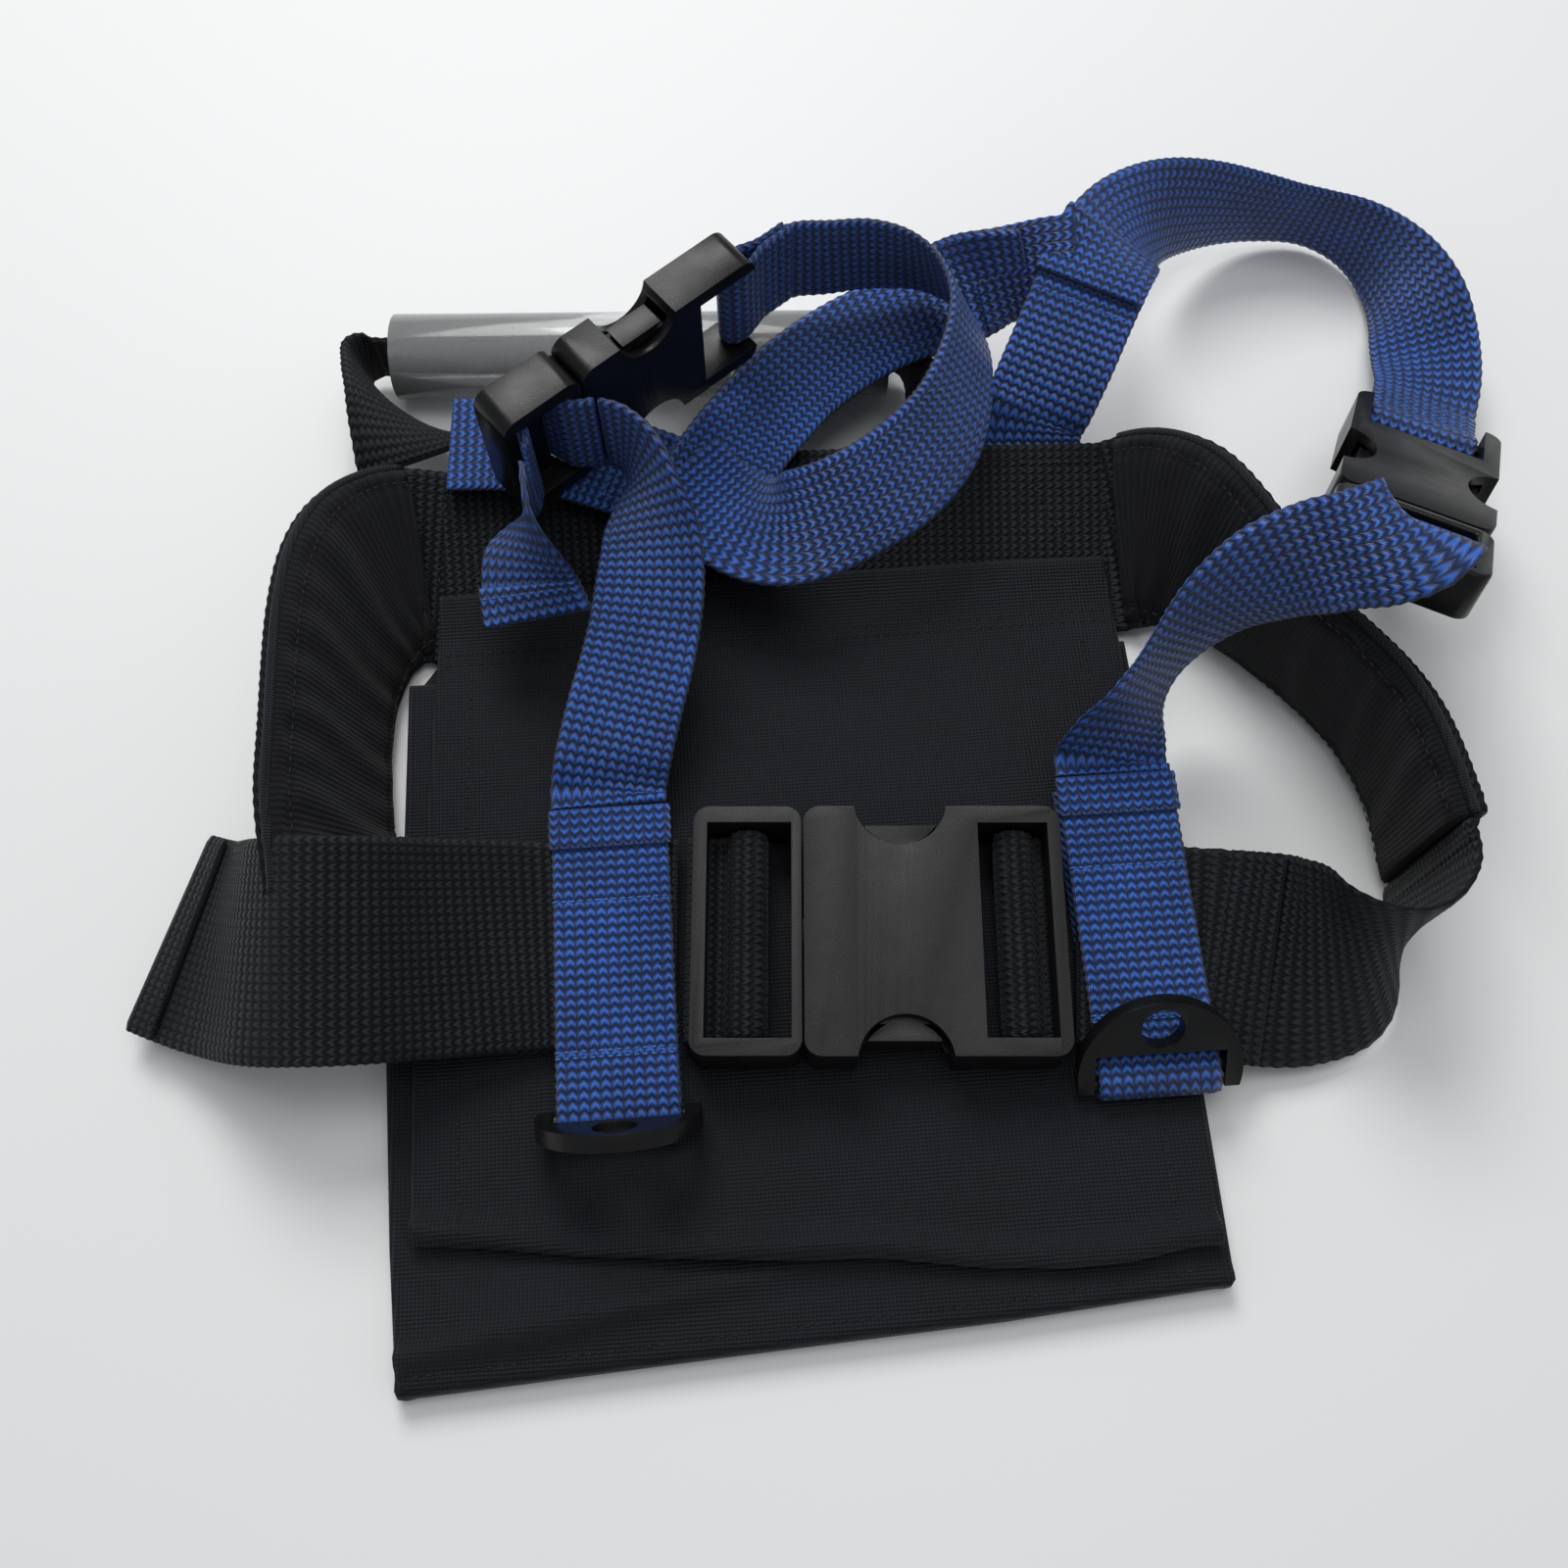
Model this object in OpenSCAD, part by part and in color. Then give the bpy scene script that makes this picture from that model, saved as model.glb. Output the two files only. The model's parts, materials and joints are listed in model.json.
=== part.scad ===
// Small webbing harness with a flat flap pouch, a two-inch waist belt, two
// shoulder straps, three side-release buckles and a tube handle.
// The pouch lies on its back, its middle at the origin, handle towards +Y.

/* [Webbing] */
// Width of the waist webbing
belt_w = 50; // [40:1:60]
// Thickness of the waist webbing
belt_t = 1.8; // [1.2:0.1:2.4]
// Width of the shoulder webbing
strap_w = 28; // [22:1:32]
// Thickness of the shoulder webbing
strap_t = 1.6; // [1.2:0.1:2]
// Width of the handle webbing
handle_w = 38; // [30:1:40]
// Thickness of the padding in the two sleeves
foam_t = 3.6; // [2:0.2:5]

/* [Pouch] */
// Thickness of the pouch cloth
cloth_t = 1.2; // [0.8:0.1:1.6]
// Clear depth of the pocket
pocket_depth = 4.8; // [4.4:0.1:5]
// Height of the folded ridge along the flap's free edge
ridge_h = 4.4; // [2:0.2:8]

/* [Waist buckle] */
// Width across the waist buckle
bb_w = 60; // [60:0.5:64]
// Thickness of the waist buckle
bb_t = 15; // [14:0.5:16]
// Length of the receiver half
bb_receiver = 61; // [58:1:66]
// Length of the tongue half that stays outside
bb_tongue = 26; // [24:1:30]
// Width of the grip recess on each side
bb_grip = 22; // [16:1:24]

/* [Shoulder buckles] */
// Width across a shoulder buckle
sb_w = 38; // [38:0.5:42]
// Thickness of a shoulder buckle
sb_t = 12.4; // [11:0.2:13]
// Length of the receiver half
sb_receiver = 54; // [50:1:56]
// Length of the tongue half that stays outside
sb_tongue = 23; // [22:1:26]

/* [Handle tube] */
// Outside diameter of the tube
tube_d = 23; // [20:0.5:24]
// Wall of the tube
tube_wall = 1.7; // [1:0.1:2.4]
// Length of the tube
tube_len = 136; // [110:1:150]

/* [Rings] */
// Width of a ring
ring_w = 38; // [36:1:42]
// Radius of the ring's eye
eye_r = 5; // [4:0.5:5]
// Thickness of a ring
ring_t = 4; // [3:0.5:5]

/* [Hidden] */
$fn = 48;
gap = 0.4;
shell = 2.4;
// heights of the stacked layers
z_back = 0;
z_front = z_back + cloth_t + pocket_depth;
z_flap = z_front + cloth_t + gap;
z_wrap = z_flap + cloth_t + 0.7 + strap_t / 2;
belt_z = z_wrap + strap_t / 2 + 0.5 + belt_t / 2;
tail_z = belt_z + belt_t + 0.6;
cover_z = tail_z + belt_t / 2 + 0.6 + strap_t / 2;
bb_z = belt_z + 4.6;
// seats of the three buckles: the meeting line of the two halves
bb_at = [1.5, -6.5, bb_z];
bb_turn = -4;
lb_at = [-46, 124.5, 27 + sb_w / 2];
lb_turn = 36.6;
rb_at = [151.4, 75.4, 48.4];
rb_turn = 62;
rb_dip = 28;
tube_r = tube_d / 2;
tube_at = [-30.5, 165, tube_r + 0.5];
tube_turn = -3.3;
hinge_y = -52;
hinge_z = z_flap + cloth_t;
ring_z = (z_wrap + cover_z) / 2;
sleeve_l_x = -43;
sleeve_r_x = 80.5;
n_side = foam_t / 2;

// ---- smooth ribbon through hand-placed stations [x, y, z, turn, lean, width] ----
function cr(a, b, c, d, t) = 0.5 * (2 * b + (c - a) * t + (2 * a - 5 * b + 4 * c - d) * t * t
  + (3 * b - a - 3 * c + d) * t * t * t);
function pick(p, i) = p[max(0, min(len(p) - 1, i))];
function smooth(p, n) = [for (k = [0:n]) let (u = k * (len(p) - 1) / n,
  i = min(floor(u), len(p) - 2), t = u - i)
  cr(pick(p, i - 1), pick(p, i), pick(p, i + 1), pick(p, i + 2), t)];
function unit(v) = v / norm(v);
function pos(s) = [s[0], s[1], s[2]];
function wdir(s) = [cos(s[4]) * cos(s[3]), cos(s[4]) * sin(s[3]), sin(s[4])];
function tangent(s, k) = unit(pos(pick(s, k + 1)) - pos(pick(s, k - 1)));
function across(s, k) = let (t = tangent(s, k), w = wdir(s[k])) unit(w - t * (w * t));
function corners(s, k, w, lo, hi) = let (c = pos(s[k]), a = across(s, k),
  n = cross(tangent(s, k), a), h = (len(s[k]) > 5 ? s[k][5] : w) / 2)
  [c - a * h + n * lo, c + a * h + n * lo, c + a * h + n * hi, c - a * h + n * hi];

module ribbon(stations, w, lo, hi, n) {
  s = smooth(stations, n);
  m = len(s);
  pts = [for (k = [0:m - 1]) each corners(s, k, w, lo, hi)];
  sides = [for (k = [0:m - 2]) for (j = [0:3]) let (a = 4 * k + j, b = 4 * k + (j + 1) % 4)
    each (j == 2 ? [[a, a + 4, b], [b, a + 4, b + 4]] : [[a, b + 4, b], [a, a + 4, b + 4]])];
  l = 4 * (m - 1);
  caps = [[0, 1, 2], [0, 2, 3], [l, l + 2, l + 1], [l, l + 3, l + 2]];
  polyhedron(pts, concat(sides, caps));
}

// sheet with a profile that changes along Y, one row [y, x_left, x_right, z] per station
module sheet(rows, n, t) {
  s = smooth(rows, n);
  m = len(s);
  pts = [for (k = [0:m - 1]) each [[s[k][1], s[k][0], s[k][3]], [s[k][2], s[k][0], s[k][3]],
    [s[k][2], s[k][0], s[k][3] + t], [s[k][1], s[k][0], s[k][3] + t]]];
  sides = [for (k = [0:m - 2]) for (j = [0:3]) let (a = 4 * k + j, b = 4 * k + (j + 1) % 4)
    each [[a, b, b + 4], [a, b + 4, a + 4]]];
  l = 4 * (m - 1);
  caps = [[0, 2, 1], [0, 3, 2], [l, l + 1, l + 2], [l, l + 2, l + 3]];
  polyhedron(pts, concat(sides, caps));
}

module plate(x0, x1, w, r, h) {
  translate([0, 0, -h / 2]) linear_extrude(h) {
    translate([x0 + r, -w / 2]) square([x1 - x0 - 2 * r, w]);
    translate([x0, -w / 2 + r]) square([x1 - x0, w - 2 * r]);
    for (x = [x0 + r, x1 - r]) for (y = [-w / 2 + r, w / 2 - r]) translate([x, y]) circle(r);
  }
}

module block(x0, x1, w, z0, z1) translate([x0, -w / 2, z0]) cube([x1 - x0, w, z1 - z0]);

// ---- side-release buckle: x = 0 is the meeting line, +x the receiver ----
module receiver(w, t, l, grip, web) {
  gx = 0.38 * l;
  difference() {
    plate(0.2, l, w, 4, t);
    // cavity for the two arms and the guide
    block(-1, 0.58 * l, w - 2 * shell - 1, -t / 2 + shell, t / 2 - shell);
    // grip recesses
    for (s = [-1, 1]) translate([gx, s * (w / 2 + grip * 0.06), -t])
      cylinder(r = grip / 2, h = 2 * t);
    // strap slot and the room for the webbing at its outer bar
    block(0.68 * l, l - (t > 13 ? 3 : 4), web + 1.6, -t, t);
    if (t > 13) block(l - 3.1, l + 1, web + 1.6, -t, -0.9);
    if (t <= 13) for (z = [2, -t - 2]) block(l - 4.1, l + 1, web + 1.6, z, z + t);
  }
  if (t > 13) block(0.83 * l - 2, 0.83 * l + 2, web + 3, -0.6, 1.9);
}

module tongue(w, t, l, web, reach) {
  difference() {
    plate(-l, -0.2, w, 4, t);
    block(-l + 3.5, -2.8, web + 1.6, -t, t);
    // room under the outer bar for the webbing
    if (t > 13) block(-l - 1, -l + 3.6, web + 1.6, -t, -0.9);
  }
  block(-0.5 * l - 2, -0.5 * l + 2, web + 3, -0.6, 1.9);
  // guide blade
  block(-0.3, reach, 6, -t / 2 + shell + gap, t / 2 - shell - gap);
}

// latch arm with its finger pad
module arm(w, t, l, grip, s) {
  gx = 0.38 * l;
  h = t - 2 * shell - 2 * gap;
  y1 = w / 2 - grip * 0.44 + 1.8;
  intersection() {
    union() {
      translate([0.4, s > 0 ? y1 - 4 : -y1, -h / 2]) cube([0.5 * l, 4, h]);
      translate([gx, s * (w / 2 + grip * 0.06), -h / 2]) difference() {
        cylinder(r = grip / 2 - 0.8, h = h);
        translate([-grip, s > 0 ? -grip * 0.24 : -2 * grip + grip * 0.24, -1])
          cube([2 * grip, 2 * grip, h + 2]);
      }
    }
    block(0.4, 0.56 * l, w - 2 * shell - 3, -t, t);
  }
}

module at_belt() translate(bb_at) rotate([0, 0, bb_turn]) children();
module at_left() translate(lb_at) rotate([-90, 0, lb_turn]) children();
module at_right() translate(rb_at) rotate([0, rb_dip, rb_turn]) rotate([180, 0, 0]) children();

// ---- pouch ----
outline = [[-94, 70], [-94.5, 24], [-98, -20], [-96, -70], [-94, -101], [-20, -97], [40, -94],
  [92, -90], [92, -34], [92, 30], [91, 70]];
inner = [[-92, 71], [-92.5, 24], [-96, -20], [-94, -70], [-92, -98.8], [-20, -94.8], [40, -91.8],
  [90, -88], [90, -34], [90, 30], [89, 71]];

module back_panel() color("#1b1c20") translate([0, 0, z_back]) linear_extrude(cloth_t)
  polygon(concat(outline, [[89, 77], [89, 92], [-86, 92], [-86.5, 77]]));

module front_panel() color("#202126") translate([0, 0, z_front]) linear_extrude(cloth_t)
  polygon(outline);

module pocket_gusset() color("#191a1d") translate([0, 0, z_back + cloth_t + 0.3])
  linear_extrude(pocket_depth - 0.6) difference() {
    polygon(outline);
    polygon(inner);
  }

module flap_upper() color("#1d1e23") sheet([[93, -86, 88, z_flap + 3.6],
  [87, -86, 88.5, z_flap + 1.9], [80, -86.5, 89, z_flap + 0.3], [70, -87, 89.5, z_flap],
  [24, -89, 91, z_flap], [-20, -91, 91.5, z_flap], [hinge_y + 0.3, -91.5, 91.5, z_flap]],
  18, cloth_t);

// free end of the flap: a folded hem that stands up as a soft wave
wave = [[-90, -71], [-72, -73], [-52, -76], [-30, -78], [-8, -80], [14, -81], [36, -84.5],
  [56, -86], [70, -85.5], [82, -83.5]];

module flap_lower() color("#1d1e23") {
  translate([0, 0, z_flap]) linear_extrude(cloth_t) polygon(concat([[90, hinge_y - 0.1],
    [-91, hinge_y - 0.1]], [for (p = wave) [p[0], p[1] + 2]], [[90, -82]]));
  ribbon([for (p = wave) [p[0], p[1] + 1, z_flap + ridge_h / 2, 90, 90]], ridge_h, -0.9, 0.9, 27);
}

// ---- waist belt ----
band = [[-89, 101, 12, 90, 22], [-60, 101.5, 12, 90, 22], [-20, 102, 12, 90, 22],
  [20, 101, 12, 90, 22], [60, 99.5, 12, 90, 22], [91.5, 98, 12, 90, 22]];
pad_l = [[-91, 101.3, 15, 90, 25], [-95, 99.5, 17.4, 102, 33], [-100, 94, 20.8, 122, 46],
  [-104, 84, 24.4, 144, 60], [-106.5, 71, 26.2, 162, 68], [-107.5, 57, 26.6, 174, 71],
  [-107.5, 43, 26.6, 180, 71], [-107, 29, 26.6, 184, 69]];
run_l = [[-106.8, 27.6, 25.8, 186, 67, 48], [-104.5, 17, 25.4, 196, 50, 40],
  [-98, 8, 20, 216, 24, 36], [-88, 1, 16.4, 238, 10, 42], [-77, -3, belt_z + 0.8, 256, 3, 48],
  [-67, -3.8, belt_z, 266, 0, belt_w], [-50, -3.6, belt_z, 268, 0, belt_w],
  [-28.2, -4.6, belt_z, 266, 0, belt_w]];
pad_r = [[93.6, 98, 15, 90, 25, 50], [98.8, 95.8, 19.4, 84, 35, 50], [105, 89.8, 24, 72, 52, 50],
  [112.4, 80.2, 26.4, 60, 71, 49], [120, 69.4, 25.8, 48, 84, 47], [127.8, 59.4, 25, 36, 90, 46],
  [135.8, 49.2, 25, 26, 91, 46], [142.4, 38.4, 25.3, 16, 91, 47], [146.4, 26.6, 26, 8, 91, 49],
  [148, 14, 26.4, 3, 90, 50], [148.4, 1.6, 26.4, 2, 88, 50]];
front_r = [[148.2, 0, 26.2, 2, 88], [146.6, -9, 26.4, 20, 84], [140.6, -18, 26, 58, 77],
  [130, -22.6, 22.8, 82, 56], [118, -21.8, 18.8, 90, 32], [108, -19.2, tail_z + 1.6, 88, 14],
  [100, -16.8, tail_z + 0.2, 86, 4], [92, -14.9, tail_z, 86, 0], [66.2, -11.2, tail_z, 86, 0]];
tail = [[-28.2, -4.6, tail_z, 266, 0], [-42, -3.8, tail_z, 266, 0], [-57, -3.4, tail_z, 268, 0],
  [-68, -4, tail_z + 4, 268, -4], [-82, -6, 27, 268, -10], [-96, -9, 39, 268, -16],
  [-110, -9.5, 43, 268, -18], [-123, -6.5, 35.5, 266, -12], [-136, 0, 19, 262, -6],
  [-149, 7, 9, 258, 0]];

module belt_back_web() color("#26272b") ribbon(band, belt_w, -belt_t / 2, belt_t / 2, 10);

module pad_left_web() color("#26272b")
  ribbon(pad_l, belt_w, n_side + 0.5, n_side + 0.5 + belt_t, 24);
module pad_left_foam() color("#17181b") ribbon(pad_l, belt_w - 2, -n_side, n_side, 24);
module pad_left_lining() color("#101114")
  ribbon(pad_l, belt_w - 1, -n_side - 1.5, -n_side - 0.5, 24);
module pad_right_web() color("#26272b")
  ribbon(pad_r, belt_w, -n_side - 0.5 - belt_t, -n_side - 0.5, 27);
module pad_right_foam() color("#17181b") ribbon(pad_r, belt_w - 2, -n_side, n_side, 27);
module pad_right_lining() color("#101114")
  ribbon(pad_r, belt_w - 1, n_side + 0.5, n_side + 1.5, 27);

module belt_left_run() color("#26272b") ribbon(run_l, belt_w, -belt_t / 2, belt_t / 2, 24);
module belt_tail_web() color("#26272b") ribbon(tail, belt_w, -belt_t / 2, belt_t / 2, 30);
module belt_right_web() color("#26272b") ribbon(front_r, belt_w, -belt_t / 2, belt_t / 2, 32);

// webbing turned round the tie bar of a waist-buckle half, s = -1 tongue, 1 receiver
module tie(s, c, edge) {
  z1 = tail_z - bb_z;
  z0 = belt_z - bb_z;
  ribbon([[edge, 0, z1, 90, 0], [s * (abs(c) + 5.4), 0, z1 + 0.4, 90, 0],
    [s * (abs(c) + 3.2), 0, 2.2, 90, 0],
    [c, 0, 3.8, 90, 0], [s * (abs(c) - 3.2), 0, 2.2, 90, 0], [s * (abs(c) - 4.1), 0, -1, 90, 0],
    [s * (abs(c) - 2.4), 0, z0 + 0.8, 90, 0], [c, 0, z0, 90, 0],
    [edge, 0, z0, 90, 0]], belt_w, -belt_t / 2, belt_t / 2, 40);
}
module belt_left_wrap() color("#26272b") at_belt() tie(-1, -0.5 * bb_tongue, -bb_tongue - 1.6);
module belt_right_wrap() color("#26272b") at_belt()
  tie(1, 0.83 * bb_receiver, bb_receiver + 1.6);

module belt_tongue() color("#232325") at_belt() tongue(bb_w, bb_t, bb_tongue, belt_w, 30);
module belt_arm_a() color("#232325") at_belt() arm(bb_w, bb_t, bb_receiver, bb_grip, 1);
module belt_arm_b() color("#232325") at_belt() arm(bb_w, bb_t, bb_receiver, bb_grip, -1);
module belt_receiver() color("#29292b") at_belt()
  receiver(bb_w, bb_t, bb_receiver, bb_grip, belt_w);

// ---- shoulder webbing ----
// sleeve round the belt that ends in a loop for the ring
function wrap_path(x, lean) = [[x + lean * 28, 28, z_wrap, 0, 0], [x + lean * 10, 10, z_wrap, 0, 0],
  [x - lean * 10, -10, z_wrap, 0, 0], [x - lean * 28, -28, z_wrap, 0, 0],
  [x - lean * 42, -42, z_wrap, 0, 0], [x - lean * 46.5, -46.5, z_wrap + 0.9, 0, 0],
  [x - lean * 48.4, -48.4, ring_z, 0, 0], [x - lean * 46.5, -46.5, cover_z - 0.9, 0, 0],
  [x - lean * 42, -42, cover_z, 0, 0], [x - lean * 28, -28, cover_z, 0, 0],
  [x - lean * 10, -10, cover_z, 0, 0], [x + lean * 10, 10, cover_z, 0, 0],
  [x + lean * 28, 28, cover_z, 0, 0]];
lean_l = 0;
lean_r = 0;
module sleeve_left() color("#2b4a9a")
  ribbon(wrap_path(sleeve_l_x, lean_l), strap_w, -strap_t / 2, strap_t / 2, 36);
module sleeve_right() color("#2b4a9a")
  ribbon(wrap_path(sleeve_r_x, lean_r), strap_w, -strap_t / 2, strap_t / 2, 36);

strap_l = [[sleeve_l_x, 29.4, cover_z, 0, 0], [sleeve_l_x, 34, cover_z + 0.1, 0, 0],
  [-41, 41, 22, 4, 4], [-37.5, 52, 26, 10, 7], [-33.5, 64, 29.5, 18, 12], [-30.5, 76, 33.5, 28, 20],
  [-29, 87, 38, 34, 32], [-29, 97, 42.4, 30, 48], [-29.6, 106, 45.2, 24, 68],
  [-33, 113.4, 46, 60, 84], [-38.6, 117, 46, 80, 90]];
module strap_left() color("#2b4a9a") ribbon(strap_l, strap_w, -strap_t / 2, strap_t / 2, 36);
module strap_left_tail() color("#2b4a9a") ribbon([[-57, 103.2, 46, 0, 90],
  [-58.2, 97.6, 45, 0, 80], [-59.4, 90.6, 41, 0, 58], [-59.4, 83.2, 34.4, 0, 34],
  [-58, 75.6, 28.6, 0, 16]], strap_w, -strap_t / 2, strap_t / 2, 16);

// webbing threaded behind the tie bar of a shoulder-buckle tongue
module thread() {
  c = -0.5 * sb_tongue;
  ribbon([[0.6, 0, -9.6, 90, 0], [c + 6.2, 0, -5.6, 90, 0], [c + 4.5, 0, -1, 90, 0],
    [c + 3, 0, 2.8, 90, 0], [c, 0, 3.7, 90, 0], [c - 3, 0, 2.8, 90, 0], [c - 4.4, 0, -1, 90, 0],
    [c - 5.4, 0, -5.6, 90, 0], [-20.4, 0, -9.6, 90, 0]],
    strap_w, -strap_t / 2, strap_t / 2, 32);
}
module strap_left_ladder() color("#2b4a9a") at_left() thread();
module strap_right_ladder() color("#2b4a9a") at_right() thread();

strap_r = [[sleeve_r_x, 29.1, cover_z, 0, 0], [sleeve_r_x + 0.2, 33.5, cover_z + 0.3, 2, -2],
  [83, 39, 23, 10, -22], [86.5, 44, 28, 20, -42], [91.5, 50, 33, 22, -50],
  [98, 55, 40, 12, -44], [106, 59, 49, -8, -32], [115, 61, 57, -30, -24],
  [124, 60.4, 63.8, -44, -16], [132, 58.8, 69.6, -42, -8], [139, 59.2, 72.8, -34, -2],
  [143.4, 61.2, 72.8, -28, 0], [144.9, 63.15, 67.6, -28, 0]];
module strap_right() color("#2b4a9a") ribbon(strap_r, strap_w, -strap_t / 2, strap_t / 2, 48);
module strap_right_tail() color("#2b4a9a") ribbon([[154.2, 80.6, 56.5, -28, 0],
  [156.4, 84.7, 56.4, -28, 0], [158.8, 89.2, 54.6, -28, 0]],
  strap_w, -strap_t / 2, strap_t / 2, 8);

// ---- rings, lying back over the lower edge of the belt ----
module ring(x, tilt) translate([x, -45.4, ring_z]) rotate([tilt, 0, 0]) {
  rotate([0, 90, 0]) cylinder(r = 1.7, h = ring_w - 2, center = true);
  translate([0, 0, -ring_t / 2]) linear_extrude(ring_t) difference() {
    translate([0, 3]) circle(ring_w / 2);
    translate([-ring_w, -2 * ring_w - 1.5]) square(2 * ring_w);
    translate([-(strap_w + 2) / 2, -2]) square([strap_w + 2, 10.5]);
    translate([0, 15]) circle(eye_r);
  }
}
module ring_left() color("#1a1a1b") ring(sleeve_l_x, 114);
module ring_right() color("#1a1a1b") ring(sleeve_r_x, 46);

// ---- uprights and the cross strap ----
module upright_left() color("#2b4a9a") ribbon([[-81, 131, 24.2, -96, 0],
  [-66, 130, 24.2, -100, 0], [-50, 126.5, 24.2, -106, 0], [-34, 120, 24.2, -112, 0], [-18, 112, 24.2, -114, 0], [-6, 106.5, 24.2, -114, 0]],
  strap_w, -strap_t / 2, strap_t / 2, 24);
module upright_right() color("#2b4a9a") ribbon([[71, 125.6, 25.4, -4, 0],
  [74, 130, 30, -9, 0], [79, 138, 37, -14, 0], [84, 147, 42, -19, 0],
  [89, 156, 45, -24, 0]], strap_w, -strap_t / 2, strap_t / 2, 14);
module cross_middle() color("#2b4a9a") ribbon([[-18, 103, 26.2, -32, 0], [-10, 118, 26.2, -32, 0],
  [0, 132, 25.4, -38, 0], [12, 145, 25, -52, 0], [26, 155, 25.1, -66, -1],
  [40, 160.5, 27.4, -80, -5], [53, 163, 32.4, -88, -36], [64, 163, 38, -92, -68],
  [73, 161.8, 41, -96, -80]], strap_w, -strap_t / 2, strap_t / 2, 32);
module cross_left() color("#2b4a9a") ribbon([[-22, 116, 28.4, 40, 0], [-12, 104, 28.8, 42, 3],
  [-2, 95.5, 32, 62, 16], [9, 92.5, 37, 84, 38], [22, 95.5, 40.4, 106, 46],
  [35, 102.5, 42.6, 130, 44], [46, 113.5, 44.6, 150, 50], [52.5, 128, 46.6, 168, 58],
  [54.5, 142, 48, 188, 64], [51, 154, 48, 214, 70], [43, 162, 47.6, 240, 78],
  [32, 165.6, 47, 262, 86], [20, 166, 46.2, 290, 89], [13, 166.2, 46, 306, 90]],
  strap_w, -strap_t / 2, strap_t / 2, 52);
// doubled, sewn strap ends that hold a receiver
module sewn_end() {
  c = sb_receiver - 2;
  ribbon([[sb_receiver + 16, 0, -0.95, 90, 0], [sb_receiver + 7, 0, -1, 90, 0],
    [sb_receiver + 2.6, 0, -2.2, 90, 0], [c + 1, 0, -3.2, 90, 0], [c - 1.4, 0, -3.1, 90, 0],
    [c - 3.4, 0, -2, 90, 0], [c - 4.1, 0, 0, 90, 0], [c - 3.4, 0, 2, 90, 0],
    [c - 1.4, 0, 3.1, 90, 0], [c + 1, 0, 3.2, 90, 0], [sb_receiver + 2.6, 0, 2.2, 90, 0],
    [sb_receiver + 7, 0, 1, 90, 0], [sb_receiver + 15, 0, 0.95, 90, 0]],
    strap_w, -strap_t / 2, strap_t / 2, 48);
}
module cross_left_end() color("#2b4a9a") at_left() sewn_end();
module cross_right_end() color("#2b4a9a") at_right() sewn_end();
module cross_right() color("#2b4a9a") ribbon([[89.6, 157.2, 45.3, -25, 0], [96, 168, 45, -31, -24],
  [105, 178, 39.5, -42, -48], [118, 188, 31, -54, -70], [134, 195, 22.6, -70, -86],
  [150, 197.5, 17.4, -90, -97], [164, 195.5, 15.8, -114, -100], [175, 188, 15.6, -134, -90],
  [182.6, 176, 15.4, -150, -70], [186, 164, 14.8, -162, -48], [186.4, 152, 13.2, -174, -26],
  [184.8, 141.4, 13.8, -190, -8], [182.8, 135, 14, -202, 0], [180.6, 130.6, 15.6, -208, 0]],
  strap_w, -strap_t / 2, strap_t / 2, 44);

module left_tongue() color("#232325") at_left() tongue(sb_w, sb_t, sb_tongue, strap_w, 25);
module left_arm_a() color("#232325") at_left() arm(sb_w, sb_t, sb_receiver, 17, 1);
module left_arm_b() color("#232325") at_left() arm(sb_w, sb_t, sb_receiver, 17, -1);
module left_receiver() color("#29292b") at_left() receiver(sb_w, sb_t, sb_receiver, 17, strap_w);
module right_tongue() color("#232325") at_right() tongue(sb_w, sb_t, sb_tongue, strap_w, 25);
module right_arm_a() color("#232325") at_right() arm(sb_w, sb_t, sb_receiver, 17, 1);
module right_arm_b() color("#232325") at_right() arm(sb_w, sb_t, sb_receiver, 17, -1);
module right_receiver() color("#29292b") at_right()
  receiver(sb_w, sb_t, sb_receiver, 17, strap_w);

// ---- handle ----
fold_w = tube_d - 2 * tube_wall - 3.6;
module handle_web() color("#26272b") ribbon([[-88, 130, 20.6, 180, 12, handle_w],
  [-92, 137, 20.4, 190, 34, handle_w - 2], [-97, 145.5, 19, 202, 58, 35],
  [-103, 154.5, 16.4, 214, 74, 30], [-107.4, 163, 13.8, 240, 84, 24],
  [-106, 168.6, 12.2, 256, 88, 19],
  [-100.4, 169.2, 12, 268, 89, fold_w], [-92, 168.6, 12, 267, 90, fold_w],
  [-30, 165, 12, 267, 90, fold_w], [30, 161.6, 12, 267, 90, fold_w],
  [39, 161, 12, 267, 90, fold_w], [42.8, 157.6, 12, 290, 88, 18], [44, 150, 12.6, 320, 82, 22],
  [43.6, 141, 14.6, 346, 62, 29], [42, 133, 16, 354, 34, 34],
  [41, 126.4, 16, 358, 6, 34]], handle_w, -1.2, 1.2, 75);

module at_tube() translate(tube_at) rotate([0, 0, tube_turn]) rotate([0, 90, 0]) children();
module grip_tube() color("#dfe6ea", 0.45) at_tube() difference() {
  cylinder(r = tube_r, h = tube_len, center = true);
  cylinder(r = tube_r - tube_wall, h = tube_len + 2, center = true);
}
// thin measuring strip rolled inside the tube
module grip_strip() color("#f0f0ee") at_tube() difference() {
  cylinder(r = tube_r - tube_wall - 0.3, h = tube_len - 6, center = true);
  cylinder(r = tube_r - tube_wall - 0.7, h = tube_len, center = true);
}

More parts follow.
